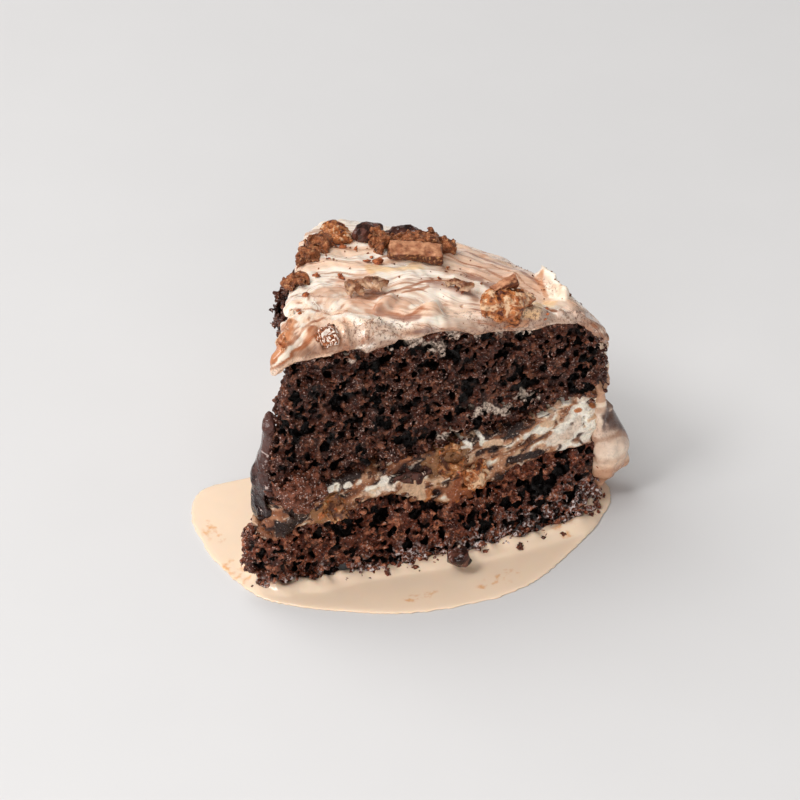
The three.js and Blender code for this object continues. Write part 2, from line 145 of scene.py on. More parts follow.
def hills_at(x, y, seed):
    """Smooth random hills over any two coordinates, one unit apart."""
    many = 256
    lattice = np.random.default_rng(seed).uniform(-1, 1, (many, many))
    left, low = np.floor(x).astype(int), np.floor(y).astype(int)
    total = 0
    for i, across in enumerate(spline_weights(x - left)):
        for j, up in enumerate(spline_weights(y - low)):
            total = total + lattice[(left + i) % many, (low + j) % many] * across * up
    # Blending evens the values out, and this spreads them again
    return total * 1.8


def tree_of(node):
    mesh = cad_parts[node].data
    mesh.calc_loop_triangles()
    corners = [Vector(np.array(v.co) / MM - POINT_OF_SLICE) for v in mesh.vertices]
    faces = [list(triangle.vertices) for triangle in mesh.loop_triangles]
    return BVHTree.FromPolygons(corners, faces)


def crossings_along(tree, coarse, number):
    """Whether each place is inside, by counting walls along one axis.

    Each ray runs a little aside of its places, so that it meets no edge of the solid.
    """
    aside = (0.013, 0.017)
    past_wall = 0.002
    inside = np.zeros(coarse.shape, bool)
    turned = np.moveaxis(inside, number, 2)
    way = Vector(np.eye(3)[number])
    first, second = [axis for axis in range(3) if axis != number]
    levels = coarse.axes[number]
    for i, u in enumerate(coarse.axes[first]):
        for j, v in enumerate(coarse.axes[second]):
            start = Vector((0, 0, 0))
            start[first], start[second] = u + aside[0], v + aside[1]
            start[number] = levels[0] - 1
            while True:
                hit = tree.ray_cast(start, way)[0]
                if hit is None:
                    break
                turned[i, j] ^= levels > hit[number]
                start = hit + way * past_wall
    return inside


def distance(node, block, step=2.0):
    """How far outside a node's solid each cell lies, measured in coarse steps.

    A place is inside when two of four tests say so: walls counted along each axis, and the
    side of the nearest wall that it lies on.
    """
    tree = tree_of(node)
    step = np.ones(3) * step
    coarse = Block(block.low - step, block.high + step, step)
    votes = sum(crossings_along(tree, coarse, number).astype(int) for number in range(3))
    values = np.empty(coarse.shape, np.float32)
    for i, x in enumerate(coarse.axes[0]):
        for j, y in enumerate(coarse.axes[1]):
            for k, z in enumerate(coarse.axes[2]):
                place = Vector((x, y, z))
                wall, outward, _, values[i, j, k] = tree.find_nearest(place)
                votes[i, j, k] += (place - wall).dot(outward) < 0
    values[votes >= 2] *= -1
    for number in range(3):
        place = (block.axes[number] - coarse.low[number]) / step[number]
        whole = place.astype(int)
        part = place - whole
        values = along_axis(values, number, whole, [1 - part, part])
    return values


def stamp(block, spots):
    """Distance to the nearest of many spots, and which one it is.

    A spot is its centre, radius, long axis and how many times longer it is that way.
    """
    field = np.full(block.shape, FAR, np.float32)
    owner = np.zeros(block.shape, np.int32)
    axes = [axis.astype(np.float32) for axis in block.axes]
    for number, (centre, radius, way, longer) in enumerate(spots):
        reach = radius * longer + SPOT_MARGIN
        first = np.maximum(((centre - reach - block.low) / block.cell).astype(int), 0)
        last = ((centre + reach - block.low) / block.cell).astype(int) + 1
        if np.any(last <= first):
            continue
        part = tuple(slice(a, b) for a, b in zip(first, last))
        x = (axes[0][part[0]] - centre[0])[:, None, None]
        y = (axes[1][part[1]] - centre[1])[None, :, None]
        z = (axes[2][part[2]] - centre[2])[None, None, :]
        along = x * way[0] + y * way[1] + z * way[2]
        squared = x * x + y * y + z * z + along * along * (1 / longer ** 2 - 1)
        away = np.sqrt(np.maximum(squared, 0)) - radius
        nearer = away < field[part]
        field[part][nearer] = away[nearer]
        owner[part][nearer] = number
    return field, owner


def union(first, second, fillet):
    """Joins two forms with a soft fillet."""
    share = np.clip(0.5 + 0.5 * (second - first) / fillet, 0, 1)
    return second + (first - second) * share - fillet * share * (1 - share)


# Surfaces of carved forms, from the corners and edges of one cell
CORNERS = np.array([(i, j, k) for i in (0, 1) for j in (0, 1) for k in (0, 1)])
EDGES = [
    (a, b) for a in range(8) for b in range(a + 1, 8)
    if np.abs(CORNERS[a] - CORNERS[b]).sum() == 1
]


def skin(block, field):
    """The surface where the field passes zero, as corners and triangles.

    The block's ends are made to lie outside, so that the surface is always closed.
    """
    outside = 0.1
    for number in range(3):
        ends = np.moveaxis(field, number, 0)
        ends[[0, -1]] = np.maximum(ends[[0, -1]], outside)
    inside = field < 0
    sizes = [length - 1 for length in block.shape]
    count = np.zeros(sizes, np.uint8)
    for i, j, k in CORNERS:
        count += inside[i:i + sizes[0], j:j + sizes[1], k:k + sizes[2]]
    mixed = (count > 0) & (count < 8)
    cells = np.argwhere(mixed)
    number = np.full(sizes, -1, np.int64)
    number[mixed] = np.arange(len(cells))
    values = np.stack([field[tuple((cells + corner).T)] for corner in CORNERS], axis=1)
    total = np.zeros((len(cells), 3))
    crossings = np.zeros((len(cells), 1))
    for a, b in EDGES:
        crosses = (values[:, a] < 0) != (values[:, b] < 0)
        step = np.where(crosses, values[:, a] - values[:, b], 1)
        share = (values[:, a] / step)[:, None]
        total += np.where(crosses[:, None], CORNERS[a] + (CORNERS[b] - CORNERS[a]) * share, 0)
        crossings += crosses[:, None]
    places = block.low + (cells + total / crossings) * block.cell
    triangles = []
    for axis in range(3):
        triangles += faces_along(axis, inside, number)
    return places, np.concatenate(triangles)


def faces_along(axis, inside, number):
    """Two triangles for each crossing between neighbouring cells of one axis."""
    u, v = (axis + 1) % 3, (axis + 2) % 3
    first = np.moveaxis(inside, axis, 0)[:-1]
    second = np.moveaxis(inside, axis, 0)[1:]
    spots = np.argwhere(np.moveaxis(first != second, 0, axis))
    step_u, step_v = np.eye(3, dtype=int)[u], np.eye(3, dtype=int)[v]
    outward = inside[tuple(spots.T)]
    around = (0 * step_u, step_u, step_u + step_v, step_v)
    ring = np.stack([number[tuple((spots - back).T)] for back in around], axis=1)
    ring[~outward] = ring[~outward][:, ::-1]
    return [ring[:, [0, 1, 2]], ring[:, [0, 2, 3]]]


def main_body(places, triangles):
    """Keeps the largest connected surface, without loose bits and closed bubbles."""
    labels = np.arange(len(places))
    while True:
        lowest = labels[triangles].min(axis=1)
        joined = labels.copy()
        for corner in range(3):
            np.minimum.at(joined, triangles[:, corner], lowest)
        joined = joined[joined]
        if np.array_equal(joined, labels):
            break
        labels = joined
    largest = np.bincount(labels[triangles[:, 0]]).argmax()
    return used_only(places, triangles[labels[triangles[:, 0]] == largest])


def used_only(places, triangles):
    used, renumbered = np.unique(triangles, return_inverse=True)
    return places[used], renumbered.reshape(-1, 3)


def coarsen(places, triangles, hidden, size):
    """Merges the corners that are out of sight, so few faces are spent there."""
    most_rows = 1000
    rows = np.floor(places / size).astype(np.int64) + most_rows // 2
    code = (rows[:, 0] * most_rows + rows[:, 1]) * most_rows + rows[:, 2]
    code[~hidden] = -1 - np.arange(len(places))[~hidden]
    kept, merged = np.unique(code, return_inverse=True)
    total = np.zeros((len(kept), 3))
    for axis in range(3):
        total[:, axis] = np.bincount(merged, places[:, axis]) / np.bincount(merged)
    faces = merged[triangles]
    a, b, c = faces.T
    faces = faces[(a != b) & (b != c) & (c != a)]
    _, first, times = np.unique(
        np.sort(faces, axis=1), axis=0, return_index=True, return_counts=True
    )
    return used_only(total, faces[np.sort(first[times == 1])])


def thin_out_hidden(places, triangles):
    """Spends few faces on what lies deep inside the slice."""
    hidden = faces_depth(places[:, 0], places[:, 1]) > RELIEF_ENDS[1]
    return coarsen(places, triangles, hidden, HIDDEN_SIZE)


def new_piece(name, places, triangles):
    mesh = bpy.data.meshes.new(name)
    mesh.vertices.add(len(places))
    mesh.vertices.foreach_set("co", ((places + POINT_OF_SLICE) * MM).astype(np.float32).ravel())
    mesh.loops.add(triangles.size)
    mesh.loops.foreach_set("vertex_index", triangles.astype(np.int32).ravel())
    mesh.polygons.add(len(triangles))
    mesh.polygons.foreach_set("loop_start", np.arange(0, triangles.size, 3, dtype=np.int32))
    mesh.polygons.foreach_set("use_smooth", np.ones(len(triangles), bool))
    mesh.update(calc_edges=True)
    mesh.validate()
    piece = bpy.data.objects.new(name, mesh)
    bpy.context.scene.collection.objects.link(piece)
    return piece


def store(piece, name, values):
    """Keeps one number for each corner of the mesh, for its material to use."""
    layer = piece.data.attributes.new(name, "FLOAT", "POINT")
    layer.data.foreach_set("value", np.asarray(values, np.float32))


def store_colour(piece, name, colours):
    layer = piece.data.attributes.new(name, "FLOAT_COLOR", "POINT")
    four = np.concatenate([colours, np.ones((len(colours), 1))], axis=1)
    layer.data.foreach_set("color", four.astype(np.float32).ravel())


def smooth_out(piece, rounds):
    modifier = piece.modifiers.new("even out", "SMOOTH")
    modifier.factor = 0.5
    modifier.iterations = rounds


def normals_of(piece):
    values = np.empty(len(piece.data.vertices) * 3, np.float32)
    piece.data.vertices.foreach_get("normal", values)
    return values.reshape(-1, 3)


def place_piece(piece, nodes, material):
    """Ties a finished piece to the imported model."""
    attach(piece, "root")
    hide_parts(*nodes)
    piece.data.materials.append(material)


def read(block, values, places):
    """The block's value nearest to each place."""
    cells = np.rint((places - block.low) / block.cell).astype(int)
    cells = np.clip(cells, 0, np.array(block.shape) - 1)
    return values[tuple(cells.T)]


def inside_back(x, y):
    """How far a place lies inside the hidden cut face."""
    return x * math.sin(SLICE_ANGLE) - y * math.cos(SLICE_ANGLE)


def faces_depth(x, y):
    """How far a place lies inside the nearer cut face."""
    return np.minimum(y, inside_back(x, y))


def near_faces(block):
    """How much relief each cell gets: all of it by the cut faces, and none deep inside."""
    return 1 - smoothstep(faces_depth(block.x, block.y), *RELIEF_ENDS)


def dome(x, y):
    """The height of the plain dome of frosting over a place."""
    return DOME_TOP - DOME_FALL * (np.hypot(x, y) / RADIUS) ** 2


# Finishes
def linear(colour):
    """Turns a display colour of 0 to 255 into the linear colour that shaders use."""
    return tuple(linear_rows(colour))


def linear_rows(colours):
    share = np.asarray(colours, float) / 255
    return np.where(share <= 0.04045, share / 12.92, ((share + 0.055) / 1.055) ** 2.4)


def shown(colour):
    """A colour property as parts of 0 to 255."""
    return tuple(255 * part for part in colour)


def tint(name, description, colour):
    """A colour that a user can change, as shown on a display."""
    return bpy.props.FloatVectorProperty(
        name=name, description=description, subtype="COLOR_GAMMA", size=3, min=0, max=1,
        default=[part / 255 for part in colour],
    )


def amount(name, description, default, unit="NONE"):
    """A number that a user can change."""
    return bpy.props.FloatProperty(name=name, description=description, default=default, unit=unit)


class Finish:
    """A material under construction, with short calls for the nodes used here."""

    def __init__(self, name):
        self.material = bpy.data.materials.new(name)
        self.material.use_nodes = True
        self.tree = self.material.node_tree
        self.shader = self.tree.nodes["Principled BSDF"]
        self.place = self.add("ShaderNodeTexCoord").outputs["Object"]

    def add(self, kind, **settings):
        node = self.tree.nodes.new(kind)
        for name, value in settings.items():
            setattr(node, name, value)
        return node

    def plug(self, socket, value):
        if isinstance(value, bpy.types.NodeSocket):
            self.tree.links.new(value, socket)
        elif isinstance(value, tuple) and len(value) == 3 and socket.type == "RGBA":
            socket.default_value = (*value, 1)
        else:
            socket.default_value = value

    def noise(self, size, detail=3, rough=0.5, distort=0, place=None):
        node = self.add("ShaderNodeTexNoise")
        self.plug(node.inputs["Vector"], place or self.place)
        node.inputs["Scale"].default_value = 1 / (size * MM)
        node.inputs["Detail"].default_value = detail
        node.inputs["Roughness"].default_value = rough
        node.inputs["Distortion"].default_value = distort
        return node.outputs["Fac"]

    def cells(self, size):
        node = self.add("ShaderNodeTexVoronoi")
        self.plug(node.inputs["Vector"], self.place)
        node.inputs["Scale"].default_value = 1 / (size * MM)
        return node.outputs["Distance"]

    def value(self, name):
        return self.add("ShaderNodeAttribute", attribute_name=name).outputs["Fac"]

    def colour(self, name):
        return self.add("ShaderNodeAttribute", attribute_name=name).outputs["Color"]

    def span(self, value, low, high, to_low=0.0, to_high=1.0):
        node = self.add("ShaderNodeMapRange", clamp=True)
        self.plug(node.inputs["Value"], value)
        node.inputs["From Min"].default_value = low
        node.inputs["From Max"].default_value = high
        node.inputs["To Min"].default_value = to_low
        node.inputs["To Max"].default_value = to_high
        return node.outputs["Result"]

    def math(self, operation, first, second=0.5):
        node = self.add("ShaderNodeMath", operation=operation)
        self.plug(node.inputs[0], first)
        self.plug(node.inputs[1], second)
        return node.outputs[0]

    def mix(self, share, first, second, blend="MIX"):
        node = self.add("ShaderNodeMix", data_type="RGBA", blend_type=blend)
        self.plug(node.inputs[0], share)
        colours = [socket for socket in node.inputs if socket.type == "RGBA"]
        self.plug(colours[0], first)
        self.plug(colours[1], second)
        return next(socket for socket in node.outputs if socket.type == "RGBA")

    def mottled(self, pattern, low, high, first, second):
        """Two display colours, mixed where a pattern passes from a low to a high value."""
        return self.mix(self.span(pattern, low, high), linear(first), linear(second))

    def spotted(self, colour, spots, strength, over):
        """A display colour laid over another one where the spots are."""
        return self.mix(self.math("MULTIPLY", spots, strength), colour, linear(over))

    def bump(self, height, depth, strength):
        node = self.add("ShaderNodeBump")
        self.plug(node.inputs["Height"], height)
        node.inputs["Distance"].default_value = depth * MM
        node.inputs["Strength"].default_value = strength
        return node.outputs["Normal"]

    def let_light_in(self, weight, reach, scale=0.05):
        """Makes it translucent. For each of red, green and blue, light spreads through it by its
        reach in metres, times the scale."""
        self.set(Subsurface_Weight=weight, Subsurface_Radius=reach, Subsurface_Scale=scale)

    def set(self, **sockets):
        """Fills sockets of the shader. An underscore in a name stands for a space."""
        for name, value in sockets.items():
            self.plug(self.shader.inputs[name.replace("_", " ")], value)


def smoothstep(value, low, high):
    share = np.clip((value - low) / (high - low), 0, 1)
    return share * share * (3 - 2 * share)


def blend(first, second, share):
    """Mixes rows of colours by a share for each row."""
    return np.asarray(first) + (np.asarray(second) - np.asarray(first)) * share[:, None]


def face_place(places):
    """Where a corner lies on the two cut faces laid out flat: along them, and up."""
    x, y, z = places.T
    return np.where(y <= inside_back(x, y), x, -np.hypot(x, y)), z


def patches(along, up, spots, warp):
    """How much each corner lies in any of the named spots, with ragged edges."""
    ragged = warp * hills_at(along / 2.1, up / 2.1, 71) + 0.5 * warp * hills_at(along, up, 72)
    total = np.zeros(len(along))
    for middle, height, wide, high in spots:
        away = np.hypot((along - middle) / wide, (up - height) / high) + ragged
        total = np.maximum(total, 1 - smoothstep(away, 0.75, 1.1))
    return total


# Colours, as shown on a display
IVORY = (246, 235, 218)
BEIGE = (220, 182, 148)
COCOA_CREAM = (180, 126, 92)
BROWN = (124, 74, 46)
DARK = (38, 19, 13)
CARAMEL = (188, 110, 58)
CRUMB_SPECKS = (118, 84, 68)

# The reach of light in cream and caramel, for red, green and blue, before it is scaled
CREAM_REACH = (0.003, 0.0018, 0.001)


class CakeColours(bpy.types.PropertyGroup):
    """Colours of the cake's finishes"""
    crumb_dark: tint("Dark crumb", "Darker tint of the soaked crumb", (58, 21, 9))
    crumb_mid: tint("Crumb", "Usual tint of the soaked crumb", (98, 46, 27))
    crumb_pale: tint("Pale crumb", "Palest grains of the soaked crumb", (150, 92, 66))
    frosting: tint("Frosting", "Palest tint of the frosting", (250, 236, 220))
    marbling: tint("Marbling", "Warm tint marbled through the frosting", (240, 208, 182))
    strokes: tint("Strokes", "Pinkish brown drawn out by the knife", (222, 174, 142))
    lines: tint("Lines", "Fine brown lines in the frosting", (158, 92, 58))
    rim: tint("Rim cream", "Palest tint of the cream round the rim", (240, 222, 200))
    glaze: tint("Glaze", "The dark glaze beside the point", (32, 11, 8))
    milk: tint("Milk", "The milk round the foot", (242, 216, 189))
    floor: tint("Floor", "The floor under the slice", (217, 215, 214))


# The crumb of the two sponges

# Large pores in the front face: how far along it, how high, half length and half height
BIG_PORES = [
    (52, 44, 3.0, 1.6), (56.5, 65, 1.2, 1.6), (29, 63, 2.0, 1.3), (40.5, 66, 1.4, 2.2),
    (71, 63, 1.6, 1.3), (102, 67, 2.2, 1.4), (66, 5, 3.4, 2.4),
    (20, 50, 2.0, 1.2), (84, 52, 2.0, 1.3), (35, 46, 1.8, 1.2), (93, 60, 1.5, 1.2),
    (12, 70, 2.2, 1.2), (64, 52, 2.2, 1.2), (25, 72, 2.6, 1.2), (47, 74, 2.4, 1.1),
    (60, 76, 2.2, 1.0), (90, 12, 2.4, 1.5), (30, 12, 2.2, 1.4), (100, 20, 2.0, 1.5),
]

# Cream smeared over the crumb: how far along the face, how high, half width and half height
CREAM_IN_CRUMB = [
    (53.5, 75, 3.2, 2.6), (30, 81, 1.6, 1.2), (78, 44, 3, 1.6), (60, 77.5, 4, 1.2), (68, 76, 3, 1.3),
    (46, 78.5, 3, 1.5), (38, 79, 2, 1.2), (25, 78.5, 2.2, 1.1), (75, 74, 3, 1.3), (86, 71.5, 3, 1.2),
    (70, 45.5, 4, 1.4), (86, 46, 4, 1.3), (57, 40, 4, 1.2),
]

# How far the crumb stays clear of the solid that covers it
COVER_GAP = 0.7


def scattered(block, base, lowest, highest, density, rng):
    """Random places by the cut faces where the base lies between two values, so many in a mm3."""
    near = (base > lowest) & (base < highest) & (faces_depth(block.x, block.y) < RELIEF_ENDS[0])
    cells = np.argwhere(near)
    count = int(len(cells) * block.cell.prod() * density)
    picked = cells[rng.integers(0, len(cells), count)]
    return block.low + (picked + rng.uniform(-0.5, 0.5, picked.shape)) * block.cell


def crumb_pores(block, base, settings, seed):
    """Bubbles just inside the cut faces: many small ones and a few large."""
    rng = np.random.default_rng(seed)
    centres = scattered(block, base, -4.5, 0.4, settings.pores, rng)
    count = len(centres)
    radii = np.clip(settings.pore * np.exp(0.42 * rng.normal(size=count)), 0.35, 2.1)
    turns = np.radians(rng.normal(28, 32, count))
    longer = rng.uniform(1.0, 2.1, count)
    spots = []
    for centre, radius, turn, more in zip(centres, radii, turns, longer):
        on_front = centre[1] <= inside_back(centre[0], centre[1])
        flat = np.array([1.0, 0.25, 0]) if on_front else BACK_ALONG
        way = flat * math.cos(turn) + np.array([0, 0, math.sin(turn)])
        spots.append((centre, radius, way / np.linalg.norm(way), more))
    low, high = block.low[2] + 2, block.high[2] - 2
    for along, up, wide, high_half in BIG_PORES:
        if low < up < high:
            column = np.abs(block.axes[0] - along).argmin()
            level = np.abs(block.axes[2] - up).argmin()
            front = block.axes[1][(base[column, :, level] < 0).argmax()]
            way = np.array([0.85, 0.1, 0.5])
            spots.append((np.array([along, front + 0.8, up]), high_half, way, wide / high_half))
    return stamp(block, spots)[0]


def granules(block, base, settings, seed):
    """Small grains of crumb that cover the cut faces."""
    rng = np.random.default_rng(seed)
    centres = scattered(block, base, -0.7, 0.3, settings.grains, rng)
    count = len(centres)
    radii = settings.grain * np.exp(0.3 * rng.normal(size=count)).clip(0.5, 1.8)
    ways = rng.normal(size=(count, 3))
    ways /= np.linalg.norm(ways, axis=1)[:, None]
    return stamp(block, list(zip(centres, radii, ways, rng.uniform(1, 1.7, count))))


def make_crumb(node, name, settings, seed, cover=None):
    """Carves one sponge: fuller at its corner by the rim, leaner at the foot of its point."""
    block = block_round(node, settings.cell)
    corner = smoothstep(block.x, 101, 108) * (1 - smoothstep(block.y, 1, 6))
    foot = (1 - smoothstep(block.x, 0, 16)) * (1 - smoothstep(block.z, 8, 16))
    base = distance(node, block) - settings.swell - 1.6 * corner + 0.9 * foot
    near = near_faces(block)
    clumps = 0.5 * hills(block, 6, seed + 2) + 0.7 * hills(block, 2.6, seed + 6)
    grains, owner = granules(block, base + settings.relief * clumps, settings, seed)
    rough = 0.4 * hills(block, 1.1, seed + 1)
    clumped = base + (settings.relief * clumps + 0.55) * near
    outside = np.minimum(clumped, grains + 0.1) + rough * near
    rough_wall = 0.45 * hills(block, 1.25, seed + 4) + 0.35 * hills(block, 2.3, seed + 5)
    holes = crumb_pores(block, base, settings, seed + 3) + rough_wall
    field = np.maximum(outside, -holes - 3 * (1 - near))
    field = np.maximum(field, LOWEST - block.z)
    if cover:
        field = np.maximum(field, COVER_GAP - distance(cover, block, 1.5))
    places, triangles = thin_out_hidden(*main_body(*skin(block, field)))
    piece = new_piece(name, places, triangles)
    along, up = face_place(places)
    # How deep each corner lies below the crumb's surface; the finish paints deep places darker by it,
    # as painted shade
    store(piece, "depth", np.clip(-read(block, base + settings.relief * clumps, places), 0, 6))
    store(piece, "cream", patches(along, up, CREAM_IN_CRUMB, 0.5))
    tones = np.random.default_rng(seed).uniform(0, 1, owner.max() + 1)
    store(piece, "tone", tones[read(block, owner, places)])
    wet = 6 + 5 * smoothstep(along, 50, 90) + 3 * hills_at(along / 5, up / 9, 141)
    store(piece, "milk", 1 - smoothstep(up, 0.4 * wet, wet))
    return piece


def crumb_finish(name, colours, light):
    look = Finish(name)
    fine = look.noise(0.8, 3, 0.65)
    patchy = look.noise(3.2, 3, 0.6)
    # Painted light: every tint is scaled by `light`, so the lower sponge's crumb is painted brighter
    # and the upper's darker, as lit and shaded copies of one finish
    dark, middle, palest = (
        tuple(light * part for part in linear(shown(colour)))
        for colour in (colours.crumb_dark, colours.crumb_mid, colours.crumb_pale)
    )
    tip = look.mix(look.span(patchy, 0.38, 0.62), dark, middle)
    pale = look.math("MULTIPLY", look.value("tone"), look.math("ADD", patchy, 0.5))
    tip = look.mix(look.span(pale, 0.6, 1.0), tip, palest)
    # Painted shade: the crumb is darker where its fine bump lies low
    tip = look.mix(look.span(fine, 0.35, 0.6), look.mix(0.65, tip, linear((18, 7, 4))), tip)
    # Painted shade: the deeper a place lies in a pore, the nearer to black it is painted
    deep = look.span(look.value("depth"), 0.3, 1.9)
    colour = look.mix(deep, tip, linear((8, 3, 2)))
    # Painted glints: tiny pale specks on the crumb, kept out of the pores
    painted_glints = look.span(look.noise(0.62, 1, 0.5), 0.63, 0.69)
    wet = look.span(look.noise(7, 2, 0.5), 0.36, 0.6, 0.25, 0.85)
    wet = look.math("MULTIPLY", wet, look.math("SUBTRACT", 1.0, deep))
    colour = look.spotted(colour, painted_glints, wet, (212, 184, 172))
    colour = look.spotted(colour, look.value("cream"), look.span(fine, 0.35, 0.55), (218, 196, 178))
    drops = look.span(look.noise(1.1, 3, 0.6), 0.53, 0.6)
    drops = look.math("MULTIPLY", drops, look.span(deep, 1, 0.3))
    milk = look.math("MULTIPLY", look.value("milk"), drops)
    colour = look.spotted(colour, milk, 0.85, (222, 210, 206))
    rough = look.span(look.noise(1.1, 2), 0.4, 0.56, 0.12, 0.6)
    grain = look.bump(fine, 0.7, 0.9)
    look.set(Base_Color=colour, Roughness=rough, Normal=grain)
    return look.material


class CakeCrumbSizes(bpy.types.PropertyGroup):
    """Sizes in the crumb of both sponges"""
    cell: amount("Cell", "Size of the finest crumb, in mm", 0.38)
    pore: amount("Pore", "Radius of a middling pore, in mm", 0.62)
    pores: amount("Pores", "How many pores in a mm3", 0.2)
    grain: amount("Grain", "Radius of a grain of crumb, in mm", 0.52)
    grains: amount("Grains", "How many grains in a mm3", 0.8)
    swell: amount("Swell", "How far it stands out, in mm", 0.7)
    relief: amount("Relief", "Strength of its relief", 1.0)


class CakeCreamSizes(bpy.types.PropertyGroup):
    """Sizes in the frosting, the filling and the milk"""
    cell: amount("Cell", "Size of the finest relief, in mm", 0.45)
    strokes: amount("Strokes", "Depth of the knife strokes, in mm", 0.32)
    hills: amount("Hills", "Height of the broad hills, in mm", 0.6)
    skin: amount("Skin", "Thinnest frosting, in mm", 1.9)
    folds: amount("Folds", "Depth of folds in the filling, in mm", 0.6)
    climb: amount("Climb", "How far milk climbs the crumb, in mm", 1.5)


class CAKE_OT_sponges(bpy.types.Operator):
    """Carves the open, soaked crumb of the two sponges"""
    bl_idname = "cake.sponges"
    bl_label = "Sponges"

    def execute(self, context):
        settings, colours = context.scene.cake_crumb, context.scene.cake_colours
        # Painted light: the lower sponge's crumb is painted 1.7 times brighter, the upper's a little
        # darker
        lower = make_crumb("sponge_lower", "crumb_lower", settings, 11)
        place_piece(lower, ["sponge_lower"], crumb_finish("soaked crumb", colours, 1.7))
        upper = make_crumb("sponge_upper", "crumb_upper", settings, 31, "top_frosting")
        place_piece(upper, ["sponge_upper"], crumb_finish("moist crumb", colours, 0.96))
        return {"FINISHED"}


# The filling between the sponges
WHITE_CREAM = (250, 240, 224)
NOUGAT = (150, 104, 68)
TOFFEE = (150, 84, 52)

# Patches of each colour: how far along the front face, how high, half width and half height
FILLING_SPOTS = [
    (DARK, [(8, 36, 10, 5), (22, 35, 5, 1.6), (1, 25, 6, 4)]),
    (WHITE_CREAM, [
        (36, 28.5, 7.5, 3.2), (-2, 39, 1.2, 1), (4, 43, 1.2, 1), (12, 33, 1.4, 1), (16, 33, 2, 1.2),
        (22, 32, 1.4, 1), (26, 32, 1.4, 1), (63, 35, 5, 3), (104, 33, 9, 7), (97, 27, 5, 3),
        (86, 33, 4, 1.6),
    ]),
    (BEIGE, [(45, 24, 5, 5), (52, 25, 3, 2), (96, 36, 4, 2), (73, 33, 3, 1.2)]),
    (DARK, [
        (44, 30, 7, 1.6), (85, 24, 6, 1.6), (70, 30, 4, 1.4), (28, 24, 3, 2), (4, 30, 4, 2.5),
        (78, 37, 4, 1.2),
    ]),
    (NOUGAT, [(14, 25, 5, 4.5), (57, 31, 6, 5)]),
    (TOFFEE, [(62, 17, 6, 4), (66, 23, 4, 4)]),
    (CARAMEL, [
        (63, 19, 2, 1), (60, 14, 2, 1), (67, 25, 1.5, 1.5), (109, 37, 1, 0.7), (104, 36, 1, 0.7),
        (13, 24, 1.3, 1), (20, 27, 1, 1), (75, 27, 2.4, 1),
    ]),
]


def filling_paint(places):
    """The filling's colour at each place, and how much of it comes from a named patch."""
    along, up = face_place(places)
    bend = 0.7 * hills_at(along / 6, up / 4, 101)
    lift = 0.5 * hills_at(along / 4, up / 3, 102)
    flow = hills_at(along / 9 + bend, up / 2.6 + lift - along / 9, 103)
    fine = hills_at(along / 2.4 + bend, up / 1.1 - along / 5, 104)
    tone = flow + 0.45 * fine + 1.1 * smoothstep(np.abs(along), 84, 100) - 0.25
    tone -= 0.3 * (1 - smoothstep(np.abs(along), 26, 34))
    colours = blend(DARK, BROWN, smoothstep(tone, -0.95, -0.5))
    colours = blend(colours, COCOA_CREAM, smoothstep(tone, -0.4, -0.05))
    colours = blend(colours, BEIGE, smoothstep(tone, 0.1, 0.3))
    colours = blend(colours, IVORY, smoothstep(tone, 0.4, 0.65))
    dark_veins = np.abs(hills_at(along / 7 + bend, up / 1.9 - along / 6, 105))
    colours = blend(colours, (44, 19, 12), 0.85 * (1 - smoothstep(dark_veins, 0.04, 0.16)))
    pale_veins = np.abs(hills_at(along / 5 + bend, up / 1.5 - along / 5, 106))
    colours = blend(colours, (236, 208, 182), 0.8 * (1 - smoothstep(pale_veins, 0.02, 0.09)))
    kept = np.zeros(len(along))
    for colour, spots in FILLING_SPOTS:
        share = patches(along, up, spots, 0.7) * (along > -4)
        colours = blend(colours, colour, share)
        kept = np.maximum(kept, share)
    stains = smoothstep(hills_at(along / 3, up / 2.2 - along / 7, 107), 0.35, 0.7)
    return blend(colours, (158, 96, 62), (0.6 - 0.4 * kept) * stains), kept


def bits_near_faces(block, base, count, smallest, largest, seed):
    """Small long lumps or hollows, half sunk in a form beside the cut faces."""
    rng = np.random.default_rng(seed)
    cells = np.argwhere((np.abs(base + 0.3) < 0.5) & (faces_depth(block.x, block.y) < 4))
    picked = cells[rng.integers(0, len(cells), count)]
    centres = block.low + picked * block.cell
    radii = rng.uniform(smallest, largest, count) * rng.uniform(0.6, 1, count)
    ways = rng.normal(size=(count, 3)) * 0.35
    front = centres[:, 1] <= inside_back(centres[:, 0], centres[:, 1])
    ways += np.where(front[:, None], [1.0, 0, 0.2], BACK_ALONG)
    ways /= np.linalg.norm(ways, axis=1)[:, None]
    return list(zip(centres, radii, ways, rng.uniform(1.2, 2.2, count)))


